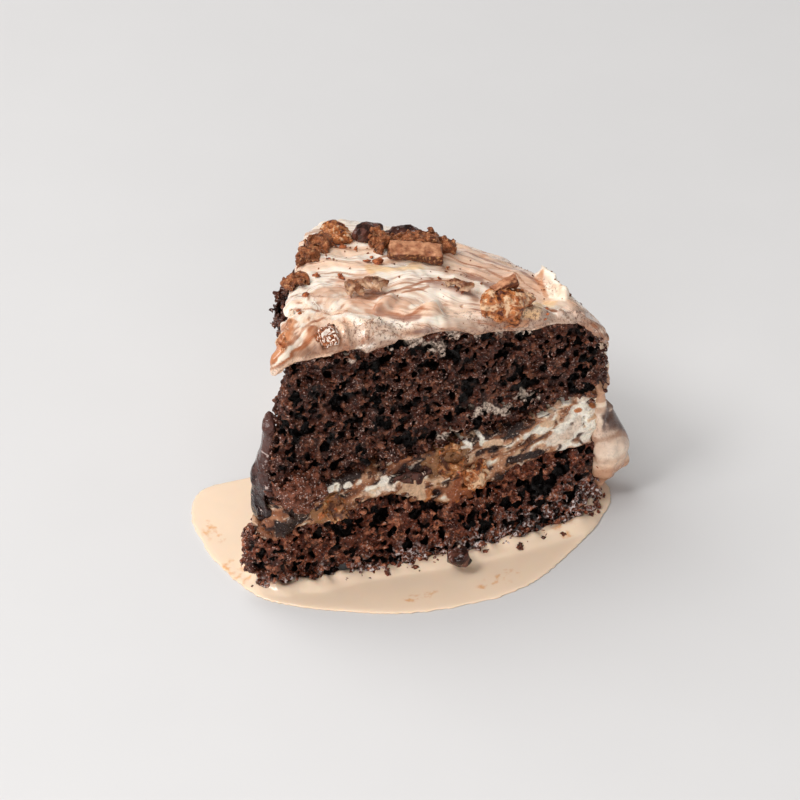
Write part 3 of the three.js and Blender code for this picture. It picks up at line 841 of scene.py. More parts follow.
class CAKE_OT_filling(bpy.types.Operator):
    """Carves the messy filling and paints its cream, chocolate and caramel"""
    bl_idname = "cake.filling"
    bl_label = "Filling"

    def execute(self, context):
        sizes = context.scene.cake_cream
        block = block_round("cream_filling", 0.42)
        base = distance("cream_filling", block) - 0.6
        near = near_faces(block)
        folds = 1 - 2 * np.abs(hills(block, 5, 51, (2.2, 2.2, 0.7)))
        small_folds = 1 - 2 * np.abs(hills(block, 2.4, 52, (2, 2, 0.8)))
        rough = 0.6 * hills(block, 7, 50) - sizes.folds * folds
        rough = rough - 0.35 * small_folds + 0.2 * hills(block, 1.3, 53)
        bits = bits_near_faces(block, base, 210, 0.5, 1.6, 54)
        lumps, owner = stamp(block, bits)
        holes, _ = stamp(block, bits_near_faces(block, base, 140, 0.5, 1.5, 55))
        field = np.minimum(base + rough * near, lumps + 0.35 * hills(block, 1.4, 56))
        field = np.maximum(field, -holes)
        places, triangles = thin_out_hidden(*main_body(*skin(block, field)))
        piece = new_piece("filling", places, triangles)
        rng = np.random.default_rng(57)
        kinds = np.array([BROWN, DARK, COCOA_CREAM, BEIGE, IVORY, CARAMEL])
        kind = kinds[rng.choice(6, len(bits), p=[0.26, 0.28, 0.14, 0.1, 0.16, 0.06])]
        on_bit = 1 - smoothstep(read(block, lumps, places), 0.1, 0.4)
        paint, kept = filling_paint(places)
        colours = blend(paint, kind[read(block, owner, places)], on_bit * (0.65 - 0.5 * kept))
        # Painted shade: the filling is painted darker where it lies below its own plain surface, in its
        # hollows
        sunk = smoothstep(read(block, base + rough - rough.mean(), places), -2.0, -0.4)
        colours = blend((30, 13, 8), colours, 0.35 + 0.65 * sunk)
        store_colour(piece, "paint", linear_rows(colours))
        look = wet_paint_finish("wet filling", rough=0.14, bump=0.7, grain=0.8, mottle=0.3)
        # Painted glints: pale specks over the wet filling
        add_specks_and_glints(look, 0.9, 0.75, 0.62, (240, 222, 210))
        place_piece(piece, ["cream_filling"], look.material)
        return {"FINISHED"}


def wet_paint_finish(name, rough, bump, grain, mottle):
    """A moist finish over painted colours, with fine mottling of its own that follows its bump: partly
    the cream's own tone, partly painted shade in the bump's hollows.
    """
    look = Finish(name)
    fine = look.noise(grain, 4, 0.6)
    paint = look.colour("paint")
    low, high = (1 - mottle,) * 3, (1 + 0.6 * mottle,) * 3
    # Painted shade and light in part: the mottling is darker where the bump lies low, paler on its tops
    colour = look.mix(1.0, paint, look.mix(look.span(fine, 0.3, 0.7), low, high), "MULTIPLY")
    roughness = look.span(look.noise(grain * 2, 2), 0.35, 0.65, rough * 0.6, rough * 1.5)
    look.set(Base_Color=colour, Roughness=roughness, Normal=look.bump(fine, bump, 0.8))
    look.let_light_in(0.12, CREAM_REACH, scale=0.5)
    return look


# The marbled frosting and the cream round the rim

# The knife swept round one centre, and fanned out from another beside the slice's point
SWEEP_CENTRE = (20, -60)
SWEEP_LENGTH = 110
FAN_CENTRE = (-26, -14)
FAN_WIDTH = 40
FAN_START = 60


def knife_strokes(x, y):
    """Where a place lies along and across the strokes that spread the frosting."""
    round_centre = np.hypot(x - SWEEP_CENTRE[0], y - SWEEP_CENTRE[1])
    along = np.arctan2(y - SWEEP_CENTRE[1], x - SWEEP_CENTRE[0]) * SWEEP_LENGTH
    from_point = np.hypot(x - FAN_CENTRE[0], y - FAN_CENTRE[1])
    fan = np.arctan2(y - FAN_CENTRE[1], x - FAN_CENTRE[0]) * FAN_WIDTH + FAN_START
    share = 1 - smoothstep(np.hypot(x, y), 16, 40)
    along = along * (1 - share) + from_point * share + 2.6 * hills_at(x / 12, y / 12, 81)
    across = round_centre * (1 - share) + fan * share
    across = across + 3.6 * hills_at(x / 13, y / 13, 82) + 1.2 * hills_at(x / 5, y / 5, 83)
    return along, across


def strokes_at(places):
    """Where corners lie along and across the strokes, which run on down the sides."""
    x, y, z = places.T
    along, across = knife_strokes(x, y)
    return along, across + 0.6 * z


def ridges(x, y, seed):
    return 1 - 2 * np.abs(hills_at(x, y, seed))


def stroke_ridges(along, across):
    """The main ridges that the knife left, for the relief and for the painted highlight on them."""
    return ridges(along / 24, across / 4.2, 84)


# Small rolls of frosting: middle, radius, direction and how many times longer
FROSTING_ROLLS = [
    ((31, 0.5, 85.0), 3.0, (1, 0, 0.1), 2.0), ((46, 1, 84.8), 2.8, (1, 0, -0.1), 2.0),
    ((30, 7, 88.0), 2.8, (1, 0.2, 0), 2.4), ((54, 6, 86.2), 2.8, (1, 0.4, 0), 2.0),
    ((40, 12, 88.0), 2.2, (1, 0.6, 0), 2.6), ((90, 1.5, 76.5), 2.4, (1, 0, -0.3), 2.0),
    ((12, 3, 87.5), 2.4, (0.5, 1, 0), 1.6), ((22, 2.5, 87.8), 2.4, (0.5, 1, 0), 1.6),
    ((17, -0.6, 86.2), 2.0, (1, 0, 0), 1.8),
]

# Colours of the streaks in the frosting
TAN = (218, 172, 144)
ORANGE_BROWN = (190, 116, 70)
MAUVE = (158, 116, 100)
RUST = (160, 96, 64)
HONEY = (250, 204, 148)
DUSTY = (204, 176, 156)

# Each streak's colour, strength, half width and the places it runs through. A place is how far
# along the front face it lies, and how far behind the front lip.
STREAKS = [
    (TAN, 0.5, 9, [(81, 42), (91, 31), (97, 20)]), (TAN, 0.45, 5, [(74, 26), (86, 30)]),
    (MAUVE, 0.7, 2.6, [(78, 28), (82, 20)]), (MAUVE, 0.7, 1.6, [(104, 34), (104, 25)]),
    (RUST, 0.7, 0.5, [(74, 44), (86, 32), (93, 18)]), (RUST, 0.7, 0.4, [(80, 45), (92, 31), (97, 16)]),
    (RUST, 0.6, 0.5, [(70, 36), (82, 28), (89, 16)]),
    (MAUVE, 0.8, 0.8, [(86, 44), (96, 30), (101, 20)]),
    (RUST, 0.9, 0.8, [(45, 21), (53, 22), (62, 24), (69, 24)]),
    (RUST, 0.8, 0.6, [(50, 19), (55, 20), (60, 20)]), (MAUVE, 0.7, 2.6, [(63, 22), (66, 18), (72, 15)]),
    ((140, 88, 62), 0.8, 1.8, [(71, 19), (72, 13)]), (TAN, 0.7, 4, [(35, 15), (42, 11), (50, 13)]),
    (RUST, 0.85, 1.6, [(36, 12), (41, 8), (45, 3), (49, 4)]),
    (MAUVE, 0.8, 1.6, [(38, 9), (43, 4), (47, 1)]),
    (IVORY, 0.9, 1.6, [(49, 9), (55, 9), (57, 2), (52, -1)]),
    ((214, 152, 120), 0.7, 3, [(36, 20), (44, 23)]),
    (ORANGE_BROWN, 0.85, 2.4, [(9, 13), (3, 4), (-4, -7)]),
    ((166, 98, 62), 0.9, 1.8, [(14, 5), (6, -1), (-3, -7)]),
    (IVORY, 0.9, 1.1, [(13, 9), (6, 1), (-4, -8)]),
    (RUST, 0.8, 0.6, [(20, 12), (10, 6), (2, 0)]), (RUST, 0.7, 0.5, [(28, 10), (22, 16), (14, 20)]),
    ((136, 102, 92), 0.8, 1.8, [(46, -4), (52, -5)]), (TAN, 0.7, 3, [(24, 24), (34, 30), (44, 33)]),
    (DUSTY, 0.8, 3, [(24, -1), (36, -2)]), (DUSTY, 0.7, 3, [(57, 0), (66, -3)]),
    ((188, 160, 142), 0.85, 3.6, [(84, -3), (100, -1), (108, 2)]),
    ((150, 88, 56), 0.9, 0.9, [(92, 3), (97, 4)]), (ORANGE_BROWN, 0.8, 1.5, [(78, -6), (83, -4)]),
    (HONEY, 0.7, 3.0, [(47, 36), (55, 34), (63, 36)]), (HONEY, 0.7, 2.6, [(86, 0), (91, 6), (97, 9)]),
    (IVORY, 0.95, 2.6, [(102, 11), (104, 26)]), (ORANGE_BROWN, 0.6, 1.2, [(99, 15), (101, 24)]),
]


def streak_share(x, down, points, width):
    """How much each place lies in a streak that runs through the points."""
    x = x + 0.9 * hills_at(x / 3.5, down / 3.5, 87) * min(1, width)
    down = down + 0.9 * hills_at(x / 3.5, down / 3.5, 88) * min(1, width)
    nearest = np.full(len(x), FAR)
    for (x0, y0), (x1, y1) in zip(points[:-1], points[1:]):
        length = (x1 - x0) ** 2 + (y1 - y0) ** 2
        share = np.clip(((x - x0) * (x1 - x0) + (down - y0) * (y1 - y0)) / length, 0, 1)
        away = np.hypot(x - x0 - share * (x1 - x0), down - y0 - share * (y1 - y0))
        nearest = np.minimum(nearest, away)
    ragged = 0.35 * width * hills_at(x / 1.8, down / 1.8, 89)
    return 1 - smoothstep(nearest + ragged, 0.6 * width, 1.25 * width)


def below_top(places):
    """Places on the frosting, with its front lip folded out flat below the top."""
    x, y, z = places.T
    return x, y - 1.6 * np.clip(dome(x, y) - z - 1, 0, 9) * (1 - smoothstep(y, 3, 9))


def frosting_paint(places, tints):
    """The frosting's colour at each place: marbling, brown lines, the named streaks, then a painted
    highlight on the knife's ridges.
    """
    x, down = below_top(places)
    along, across = strokes_at(places)
    tone = 0.6 * hills_at(along / 26, across / 5, 91) + 0.4 * hills_at(along / 11, across / 2.2, 92)
    colours = blend(shown(tints.marbling), shown(tints.frosting), smoothstep(tone, -0.4, 0.3))
    pink = smoothstep(hills_at(along / 20, across / 3.2, 93), 0.15, 0.6)
    colours = blend(colours, shown(tints.strokes), 0.5 * pink)
    # The lower front lip is painted darker brown: partly crumb mixed into it, partly painted shade
    lip = (1 - smoothstep(down, -4, 2)) * smoothstep(hills_at(x / 6, down / 3, 90), -0.8, 0.1)
    colours = blend(colours, (150, 106, 82), 0.72 * lip)
    lines = 1 - smoothstep(np.abs(hills_at(along / 26, across / 3.6, 94)), 0.02, 0.13)
    some = smoothstep(hills_at(x / 13, down / 13, 95), -0.1, 0.4)
    colours = blend(colours, (166, 112, 84), 0.5 * lines * some)
    brown = smoothstep(hills_at(along / 12, across / 1.8, 96), 0.6, 0.85)
    colours = blend(colours, (160, 104, 74), 0.6 * brown)
    grain = 0.7 + 0.3 * smoothstep(hills_at(along / 12, across / 1.2, 97), -0.5, 0.3)
    for colour, strength, width, points in STREAKS:
        colours = blend(colours, colour, strength * grain * streak_share(x, down, points, width))
    # Painted highlight: the knife's ridges are painted paler
    lit = smoothstep(stroke_ridges(along, across), 0.55, 0.95)
    return blend(colours, (248, 238, 224), 0.18 * lit)


def speckled(places):
    """Where crumb has mixed into the frosting: low on the front face, and by the rim."""
    x, down = below_top(places)
    front = 1 - smoothstep(down, 2, 7)
    away = np.hypot(x, places[:, 1])
    on_fin = smoothstep(places[:, 2] - dome(x, places[:, 1]), 1.2, 2.2)
    rim = smoothstep(away, 99, 107) * (1 - on_fin)
    patchy = smoothstep(hills_at(x / 7, down / 5, 98), -0.8, 0.0)
    bottom = 1 - smoothstep(down, -7, -3)
    return np.clip(front * smoothstep(x, 14, 24) * patchy + rim * patchy + 0.6 * bottom, 0, 1)


def store_stroke(piece, along, across):
    """Keeps where each corner lies in the knife strokes, so that fine lines can follow them."""
    layer = piece.data.attributes.new("stroke", "FLOAT_VECTOR", "POINT")
    rows = np.stack([0.1 * along, across, 0 * across], axis=1) * MM
    layer.data.foreach_set("vector", rows.astype(np.float32).ravel())


def frosting_finish(colours):
    look = Finish("marbled frosting")
    stroke = look.add("ShaderNodeAttribute", attribute_name="stroke").outputs["Vector"]
    brushed = look.noise(1.3, 4, 0.6, 0.2, stroke)
    shade = look.mix(look.span(brushed, 0.34, 0.6), (0.95, 0.9, 0.86), (1.03, 1.03, 1.03))
    colour = look.mix(1.0, look.colour("paint"), shade, "MULTIPLY")
    drawn = look.noise(4.5, 3, 0.55, 0.7, stroke)
    off_line = look.span(look.math("ABSOLUTE", look.math("SUBTRACT", drawn, 0.5)), 0.003, 0.022)
    some = look.span(look.noise(13, 2), 0.48, 0.6)
    line = look.math("MULTIPLY", look.math("SUBTRACT", 1.0, off_line), some)
    colour = look.mix(look.math("MULTIPLY", line, 0.8), colour, linear(shown(colours.lines)))
    look.set(Base_Color=colour, Roughness=look.span(brushed, 0.35, 0.65, 0.14, 0.34))
    look.set(Normal=look.bump(brushed, 0.09, 0.7))
    look.let_light_in(0.12, CREAM_REACH, scale=0.5)
    look.set(Coat_Weight=0.2, Coat_Roughness=0.1)
    add_specks_and_glints(look, look.value("specks"), 0.9, 0.52, CRUMB_SPECKS)
    return look.material


def add_specks_and_glints(look, strength, size, least, colour):
    """Lays fine specks over a finish, where a noise is above the least value. They are crumb in the
    frosting and the rim cream, and painted glints on the filling.
    """
    socket = look.shader.inputs["Base Color"]
    under = socket.links[0].from_socket
    specks = look.span(look.noise(size, 3, 0.7), least, least + 0.08)
    share = look.math("MULTIPLY", look.math("MULTIPLY", specks, strength), 0.8)
    look.set(Base_Color=look.mix(share, under, linear(colour)))


# How deep the frosting sits in the sponge, and how far it may stand above its plain dome
INTO_SPONGE = 0.9
ABOVE_DOME = 5.0


class CAKE_OT_frosting(bpy.types.Operator):
    """Spreads the marbled frosting over the top and down the rim"""
    bl_idname = "cake.frosting"
    bl_label = "Frosting"

    def execute(self, context):
        sizes, colours = context.scene.cake_cream, context.scene.cake_colours
        block = block_round("top_frosting", sizes.cell)
        base = distance("top_frosting", block, 1.5)
        x, y = block.x[:, :, 0], block.y[:, :, 0]
        along, across = knife_strokes(x, y)
        height = sizes.strokes * stroke_ridges(along, across)
        height += 0.1 * ridges(along / 13, across / 1.9, 85)
        height += sizes.hills * hills_at(along / 30, across / 10, 86)
        height += 0.5 * ridges(x / 9, y / 7, 80)
        rough = 0.5 * hills(block, 4.2, 61, (1.6, 1.6, 1)) + 0.22 * hills(block, 1.8, 62)
        rolls, _ = stamp(block, [
            (np.array(centre), radius, np.array(way) / np.linalg.norm(way), longer)
            for centre, radius, way, longer in FROSTING_ROLLS
        ])
        field = union(base, rolls, 2.5) + rough - height[:, :, None].astype(np.float32)
        from_sponge = distance("sponge_upper", block, 1.5)
        thinnest = np.maximum(from_sponge - sizes.skin + 0.3 * rough, base - 1.0)
        field = np.maximum(np.minimum(field, thinnest), -INTO_SPONGE - from_sponge)
        field = np.maximum(field, block.z - (dome(block.x, block.y) + ABOVE_DOME))
        places, triangles = main_body(*skin(block, field))
        piece = new_piece("frosting", places, triangles)
        store_colour(piece, "paint", linear_rows(frosting_paint(places, colours)))
        store(piece, "specks", speckled(places))
        store_stroke(piece, *strokes_at(places))
        smooth_out(piece, 2)
        place_piece(piece, ["top_frosting"], frosting_finish(colours))
        return {"FINISHED"}


def round_rim(places):
    """How far round the rim from the front cut face each corner lies."""
    return np.arctan2(places[:, 1], places[:, 0]) * RADIUS


def rim_paint(places, facing, tints):
    """The rim cream's colour at each place, with a dark run of glaze where it faces out and up."""
    z = places[:, 2]
    turn = round_rim(places)
    bend = 0.6 * hills_at(turn / 9, z / 9, 111)
    marble = hills_at(turn / 15 + bend, z / 8 + turn / 30, 112)
    colours = blend(shown(tints.rim), (232, 196, 166), smoothstep(marble, -0.3, 0.3))
    colours = blend(colours, (186, 136, 106), 0.8 * smoothstep(marble, 0.3, 0.6))
    lines = smoothstep(hills_at(turn / 14, z / 1.8 + 0.8 * marble, 113), 0.4, 0.8)
    colours = blend(colours, (160, 106, 76), 0.5 * lines)
    dollop = 1 - smoothstep(np.hypot(turn - 4, (z - 22) / 1.6), 6, 11)
    swirl = hills_at(turn / 4 + z / 5 + 0.8 * marble, z / 3.4 - turn / 2.6, 116)
    pinkish = blend(np.array([(216, 184, 162)] * len(z)), (168, 124, 100), smoothstep(swirl, 0.1, 0.5))
    share = 0.85 * dollop * smoothstep(z + 3 * marble, 12, 17)
    colours = colours + (pinkish - colours) * share[:, None]
    run = 1 - smoothstep(np.abs(turn - 3 + 2 * marble) - 0.12 * (z - 26), 4.5, 7)
    lowest = 17 - 1.6 * turn + 3 * hills_at(turn / 2.6, z / 6, 115)
    glazed = run * smoothstep(z, lowest - 1, lowest + 1) * (1 - smoothstep(z, 32, 37))
    return blend(colours, (82, 58, 50), 0.9 * glazed * smoothstep(facing, -0.15, 0.3))


class CAKE_OT_rim_cream(bpy.types.Operator):
    """Spreads the cream down the rim, with the dollop beside the front cut face"""
    bl_idname = "cake.rim_cream"
    bl_label = "Rim cream"

    def execute(self, context):
        block = block_round("rim_cream", 0.55)
        base = distance("rim_cream", block, 1.5) - 0.5
        rough = 1.2 * hills(block, 7, 64, (1, 1, 0.7)) + 0.6 * hills(block, 3, 65)
        # The union keeps its hollows shallow
        rough = union(rough + 0.25 * hills(block, 1.4, 66), 0.6, 1.0)
        # It wraps round the edge of the front cut face, except beside the upper sponge
        bare = smoothstep(block.z, 38, 44) * (1 - smoothstep(block.z, 70, 77))
        edge = -9 + (10 + 1.5 * hills(block, 5, 67)) * bare
        field = np.maximum(base + rough, edge - block.y)
        places, triangles = main_body(*skin(block, np.maximum(field, LOWEST - block.z)))
        piece = new_piece("rim_cream_spread", places, triangles)
        facing = normals_of(piece) @ np.array([0.8, 0.1, 0.55])
        colours = rim_paint(places, facing, context.scene.cake_colours)
        store_colour(piece, "paint", linear_rows(colours))
        flecked = hills_at(round_rim(places) / 6, places[:, 2] / 6, 114)
        store(piece, "specks", 0.6 * smoothstep(flecked, 0.1, 0.6))
        smooth_out(piece, 2)
        look = wet_paint_finish("rim cream", rough=0.26, bump=0.15, grain=1.6, mottle=0.08)
        add_specks_and_glints(look, look.value("specks"), 0.9, 0.52, CRUMB_SPECKS)
        look.set(Coat_Weight=0.2, Coat_Roughness=0.12)
        place_piece(piece, ["rim_cream"], look.material)
        return {"FINISHED"}


# Glaze and milk
def glaze_finish(dark):
    look = Finish("dark glaze")
    # Higher up the glaze is painted paler: partly its thinner film, partly painted sheen
    pale_film_and_sheen = look.math("MULTIPLY", look.value("height"), 0.5)
    cloudy = look.math("ADD", look.noise(5, 4, 0.6, 1.0), pale_film_and_sheen)
    colour = look.mottled(cloudy, 0.52, 0.95, dark, (88, 58, 52))
    # Pale smears: partly milky lumps on the glaze, partly painted highlights
    smears_and_glints = look.span(look.noise(2.4, 3, 0.6, 0.8), 0.63, 0.68)
    colour = look.spotted(colour, smears_and_glints, 0.7, (206, 184, 176))
    look.set(Base_Color=colour, Roughness=0.08, Normal=look.bump(look.noise(3.5, 3), 2.4, 1.0))
    look.let_light_in(0.15, (0.003, 0.0012, 0.0008))
    return look.material


def milk_finish(colour):
    look = Finish("milk")
    milk = linear(colour)
    clouds = look.span(look.noise(14, 3, 0.5), 0.35, 0.65)
    stain = look.math("MULTIPLY", look.value("stain"), look.span(look.noise(2.2, 3), 0.45, 0.7))
    paint = look.mix(clouds, tuple(0.97 * part for part in milk), milk)
    paint = look.mix(stain, paint, linear((226, 170, 120)))
    look.set(Base_Color=paint, Roughness=0.14, Normal=look.bump(look.noise(9, 2), 0.1, 0.4))
    look.let_light_in(0.3, (0.004, 0.0025, 0.0015))
    return look.material


class CAKE_OT_glaze(bpy.types.Operator):
    """Runs the dark glaze down beside the point"""
    bl_idname = "cake.glaze"
    bl_label = "Glaze"

    def execute(self, context):
        block = block_round("point_glaze", cell=0.3, margin=3.0)
        base = distance("point_glaze", block, 1.2) - 0.4
        rough = 1.3 * hills(block, 4.5, 121, (1, 1, 1.8)) + 0.6 * hills(block, 2, 122, (1, 1, 1.5))
        places, triangles = main_body(*skin(block, base + rough))
        piece = new_piece("glaze_run", places, triangles)
        # How high each corner lies, by which the finish paints the glaze paler: thinner film and
        # painted sheen
        store(piece, "height", smoothstep(places[:, 2], 30, 56))
        smooth_out(piece, 2)
        material = glaze_finish(shown(context.scene.cake_colours.glaze))
        place_piece(piece, ["point_glaze"], material)
        return {"FINISHED"}


# Stains in the milk: their middle, and their half widths both ways
MILK_SPOTS = [(62, -27, 7, 3), (92, -14, 4, 3), (35, -24, 4, 2), (-11, 12, 3, 6), (-10, 34, 3, 5)]

# The block that the milk is carved in: the room round its solid, and the size of its cells
POOL_MARGIN = 3.0
POOL_CELL = 0.8


class CAKE_OT_milk(bpy.types.Operator):
    """Pours the milk that stands round the foot"""
    bl_idname = "cake.milk"
    bl_label = "Milk"

    def execute(self, context):
        low, high = node_box("milk_pool")
        middle = (low[2] + high[2]) / 2
        (left, front), (right, back) = low[:2] - POOL_MARGIN, high[:2] + POOL_MARGIN
        flat = Block([left, front, middle], [right, back, middle], (POOL_CELL, POOL_CELL, middle))
        steps = np.array([2 * POOL_CELL, 2 * POOL_CELL, middle])
        from_cake = distance("sponge_lower", flat, steps)[:, :, 0]
        edge = distance("milk_pool", flat, steps)[:, :, 0]
        # It spreads a little way under the cake, and climbs its foot
        reach = 3 + 6 * smoothstep(-from_cake, 0, 2)
        edge = edge - reach * (1 - smoothstep(from_cake, 0.6, 3.6))
        deep = Block([left, front, -0.9], [right, back, 4], (POOL_CELL, POOL_CELL, 0.3))
        x, y = flat.x[:, :, 0], flat.y[:, :, 0]
        level = high[2] * np.clip(-edge / 2.6, 0, 1) ** 0.4 + 0.1 * hills_at(x / 9, y / 9, 131)
        climb = np.exp(-np.clip(from_cake, 0, 9) / 1.3) * (1 + 0.6 * hills_at(x / 2.6, y / 2.6, 132))
        level = level + context.scene.cake_cream.climb * climb
        field = np.maximum(deep.z - level[:, :, None], 0.03 - deep.z) + 0 * deep.x
        field = np.maximum(field, edge[:, :, None]).astype(np.float32)
        places, triangles = main_body(*skin(deep, field))
        piece = new_piece("milk", places, triangles)
        store(piece, "stain", patches(places[:, 0], places[:, 1], MILK_SPOTS, 0.6))
        smooth_out(piece, 3)
        material = milk_finish(shown(context.scene.cake_colours.milk))
        place_piece(piece, ["milk_pool"], material)
        return {"FINISHED"}


# Candy, nougat and cake pieces
def bar_finish():
    look = Finish("milk chocolate")
    specks = look.span(look.noise(0.9, 3, 0.7), 0.53, 0.62)
    side = look.mottled(look.noise(2, 4, 0.7), 0.35, 0.65, (62, 27, 15), (112, 56, 33))
    side = look.spotted(side, specks, 0.7, (206, 150, 100))
    # Painted light: faces that point up are painted much paler than the sides
    top = look.mottled(look.noise(2.4, 4), 0.35, 0.65, (150, 92, 62), (204, 146, 108))
    top = look.spotted(top, specks, 0.4, (110, 66, 46))
    rough = look.span(look.noise(2, 2), 0.3, 0.7, 0.28, 0.6)
    grain = look.bump(look.noise(1.0, 3, 0.6), 0.3, 0.7)
    look.set(Base_Color=look.mix(look.value("top"), side, top), Roughness=rough, Normal=grain)
    return look.material


def cocoa_finish():
    look = Finish("cocoa crumb")
    colour = look.mottled(look.noise(2.2, 4, 0.7), 0.35, 0.65, (66, 30, 17), (168, 98, 58))
    grains = look.span(look.noise(0.9, 3, 0.7), 0.55, 0.65)
    colour = look.spotted(colour, grains, 0.8, (206, 150, 104))
    rough = look.span(look.noise(1.5, 3), 0.4, 0.6, 0.18, 0.6)
    grain = look.bump(look.noise(0.8, 3, 0.7), 0.6, 0.9)
    look.set(Base_Color=colour, Roughness=rough, Normal=grain)
    return look.material


def lump_finish():
    look = Finish("soaked cake lump")
    colour = look.mottled(look.noise(1.8, 4, 0.7), 0.35, 0.65, (52, 22, 14), (138, 80, 58))
    # Painted glints: tiny pale specks that sparkle on the soaked lump
    lump_glints = look.span(look.noise(0.7, 2, 0.6), 0.6, 0.68)
    colour = look.spotted(colour, lump_glints, 0.8, (224, 200, 188))
    grain = look.bump(look.noise(0.8, 3, 0.7), 0.6, 0.9)
    look.set(Base_Color=colour, Roughness=0.25, Normal=grain, Specular_IOR_Level=0.35)
    return look.material


def candy_finish():
    look = Finish("glossy dark candy")
    colour = look.mottled(look.noise(4, 3, 0.6, 0.6), 0.4, 0.62, (36, 16, 11), (104, 64, 54))
    cream = look.span(look.noise(3, 4, 0.6, 1.2), 0.64, 0.69)
    colour = look.spotted(colour, cream, 0.8, (216, 188, 168))
    look.set(Base_Color=colour, Roughness=0.13, Normal=look.bump(look.noise(1.2, 3), 0.5, 0.8))
    look.set(Specular_IOR_Level=0.4)
    return look.material


def smeared_finish():
    look = Finish("nougat sunk in frosting")
    uneven = look.math("MULTIPLY", look.noise(3, 3, 0.6), 1.2)
    level = look.math("ADD", look.value("level"), uneven)
    colour = look.mottled(look.noise(2, 4, 0.7), 0.4, 0.6, (96, 54, 36), (156, 102, 68))
    colour = look.mix(look.span(level, 1.35, 1.1), colour, linear((196, 158, 126)))
    colour = look.mix(look.span(level, 1.1, 0.85), colour, linear((220, 186, 158)))
    rough = look.span(look.noise(2, 3), 0.35, 0.6, 0.15, 0.45)
    grain = look.bump(look.noise(1.0, 3, 0.7), 0.4, 0.8)
    look.set(Base_Color=colour, Roughness=rough, Normal=grain)
    return look.material


def striped_finish():
    look = Finish("broken candy")
    stripes = look.noise(2.2, 3, 0.6, 2.0)
    colour = look.mottled(stripes, 0.4, 0.5, (54, 26, 18), (168, 100, 62))
    colour = look.mix(look.span(stripes, 0.52, 0.57), colour, linear((240, 226, 212)))
    look.set(Base_Color=colour, Roughness=0.12, Normal=look.bump(look.noise(1.8, 3), 0.5, 0.8))
    return look.material


def honeycomb_finish():
    look = Finish("honeycomb")
    broad = look.noise(4, 3, 0.6, 0.8)
    colour = look.mottled(look.noise(2.2, 4, 0.7), 0.35, 0.65, (124, 62, 32), (208, 130, 74))
    colour = look.mix(look.span(broad, 0.52, 0.6), colour, linear((224, 184, 146)))
    colour = look.mix(look.span(broad, 0.45, 0.38), colour, linear((84, 40, 26)))
    # Painted shade: small pits drawn as dark dots
    pits = look.span(look.cells(1.3), 0.3, 0.1)
    colour = look.spotted(colour, pits, 0.7, (74, 38, 24))
    rough = look.span(look.noise(2, 3), 0.35, 0.6, 0.15, 0.5)
    grain = look.bump(look.noise(1.0, 3, 0.7), 0.5, 0.9)
    look.set(Base_Color=colour, Roughness=rough, Normal=grain)
    look.let_light_in(0.1, (0.002, 0.001, 0.0006))
    return look.material


def flake_finish():
    look = Finish("toffee flake")
    colour = look.mottled(look.noise(1.1, 3), 0.4, 0.6, (128, 62, 34), (196, 112, 68))
    look.set(Base_Color=colour, Roughness=0.3, Normal=look.bump(look.noise(0.7, 3), 0.3, 0.8))
    return look.material


def caramel_finish():
    look = Finish("caramel")
    cloudy = look.noise(4, 4, 0.65, 1.2)
    colour = look.mottled(cloudy, 0.4, 0.6, (84, 44, 24), (184, 122, 74))
    colour = look.mix(look.span(cloudy, 0.6, 0.68), colour, linear((234, 200, 162)))
    spots = look.span(look.noise(1.8, 2), 0.62, 0.7)
    colour = look.mix(spots, colour, linear((198, 98, 44)))
    look.set(Base_Color=colour, Roughness=0.12, Normal=look.bump(look.noise(2.2, 3), 0.5, 0.8))
    look.let_light_in(0.3, CREAM_REACH)
    look.set(Coat_Weight=0.4, Coat_Roughness=0.05)
    return look.material


# Each kind: its finish and slot, how far it grows past its solid, its hills as sizes and depths,
# how many flat cuts and pores a piece has, and its pieces. Hills of negative depth meet in
# creases, the others in ridges
KINDS = [
    (bar_finish, "milk_chocolate", 0.2, [(5, 0.15), (1.2, 0.15)], 0, 6, ["bar_piece", "bar_shard"]),
    (cocoa_finish, "milk_chocolate", 0.5, [(4, 0.7), (1.8, -0.7), (1.0, -0.4)], 8, 20, ["edge_candy"]),
    (cocoa_finish, "cocoa_crumb", 0.6, [(4, 0.7), (1.8, -0.7), (1.0, -0.4)], 8, 30,
     ["cocoa_piece_left", "cocoa_piece_behind", "cocoa_piece_right", "edge_cocoa_upper",
      "edge_cocoa_lower"]),
    (candy_finish, "dark_chocolate", 0.4, [(5, 0.9), (2.2, 0.45)], 9, 0,
     ["dark_candy_left", "dark_candy_right", "fudge_strip", "fallen_candy"]),
    (striped_finish, "dark_chocolate", 0.2, [(5, 0.8), (2.2, 0.5)], 0, 8, ["broken_candy"]),
    (lump_finish, "cocoa_crumb", 0.9, [(3.4, -1.0), (1.6, -1.0), (1.0, -0.6)], 0, 40, ["cake_lump"]),
    (smeared_finish, "cocoa_crumb", 0.0, [(5, 0.6), (2.4, -0.8), (1.1, 0.4)], 0, 12, ["sunk_cocoa"]),
    (smeared_finish, "honeycomb", -0.2, [(5, 0.6), (2.4, 0.4), (1.1, 0.3)], 0, 12, ["sunk_nougat"]),
    (honeycomb_finish, "honeycomb", 0.7, [(6, 0.6), (2.4, -0.6), (1.1, 0.3)], 14, 50,
     ["honeycomb_piece", "nougat_chunk", "filling_nougat"]),
    (caramel_finish, "caramel", 0.4, [(4, 1.3), (2.0, 0.8), (1.0, 0.3)], 0, 24,
     ["caramel_piece", "filling_candy"]),
]

# The room left round a piece, the size of its cells, how far it may stand over its solid, and
# how much of the way from its middle to its edge a flat cut leaves
PIECE_MARGIN = 2.5
PIECE_CELL = 0.38
ABOVE_SOLID = 0.5
CUT_SHARE = 0.84

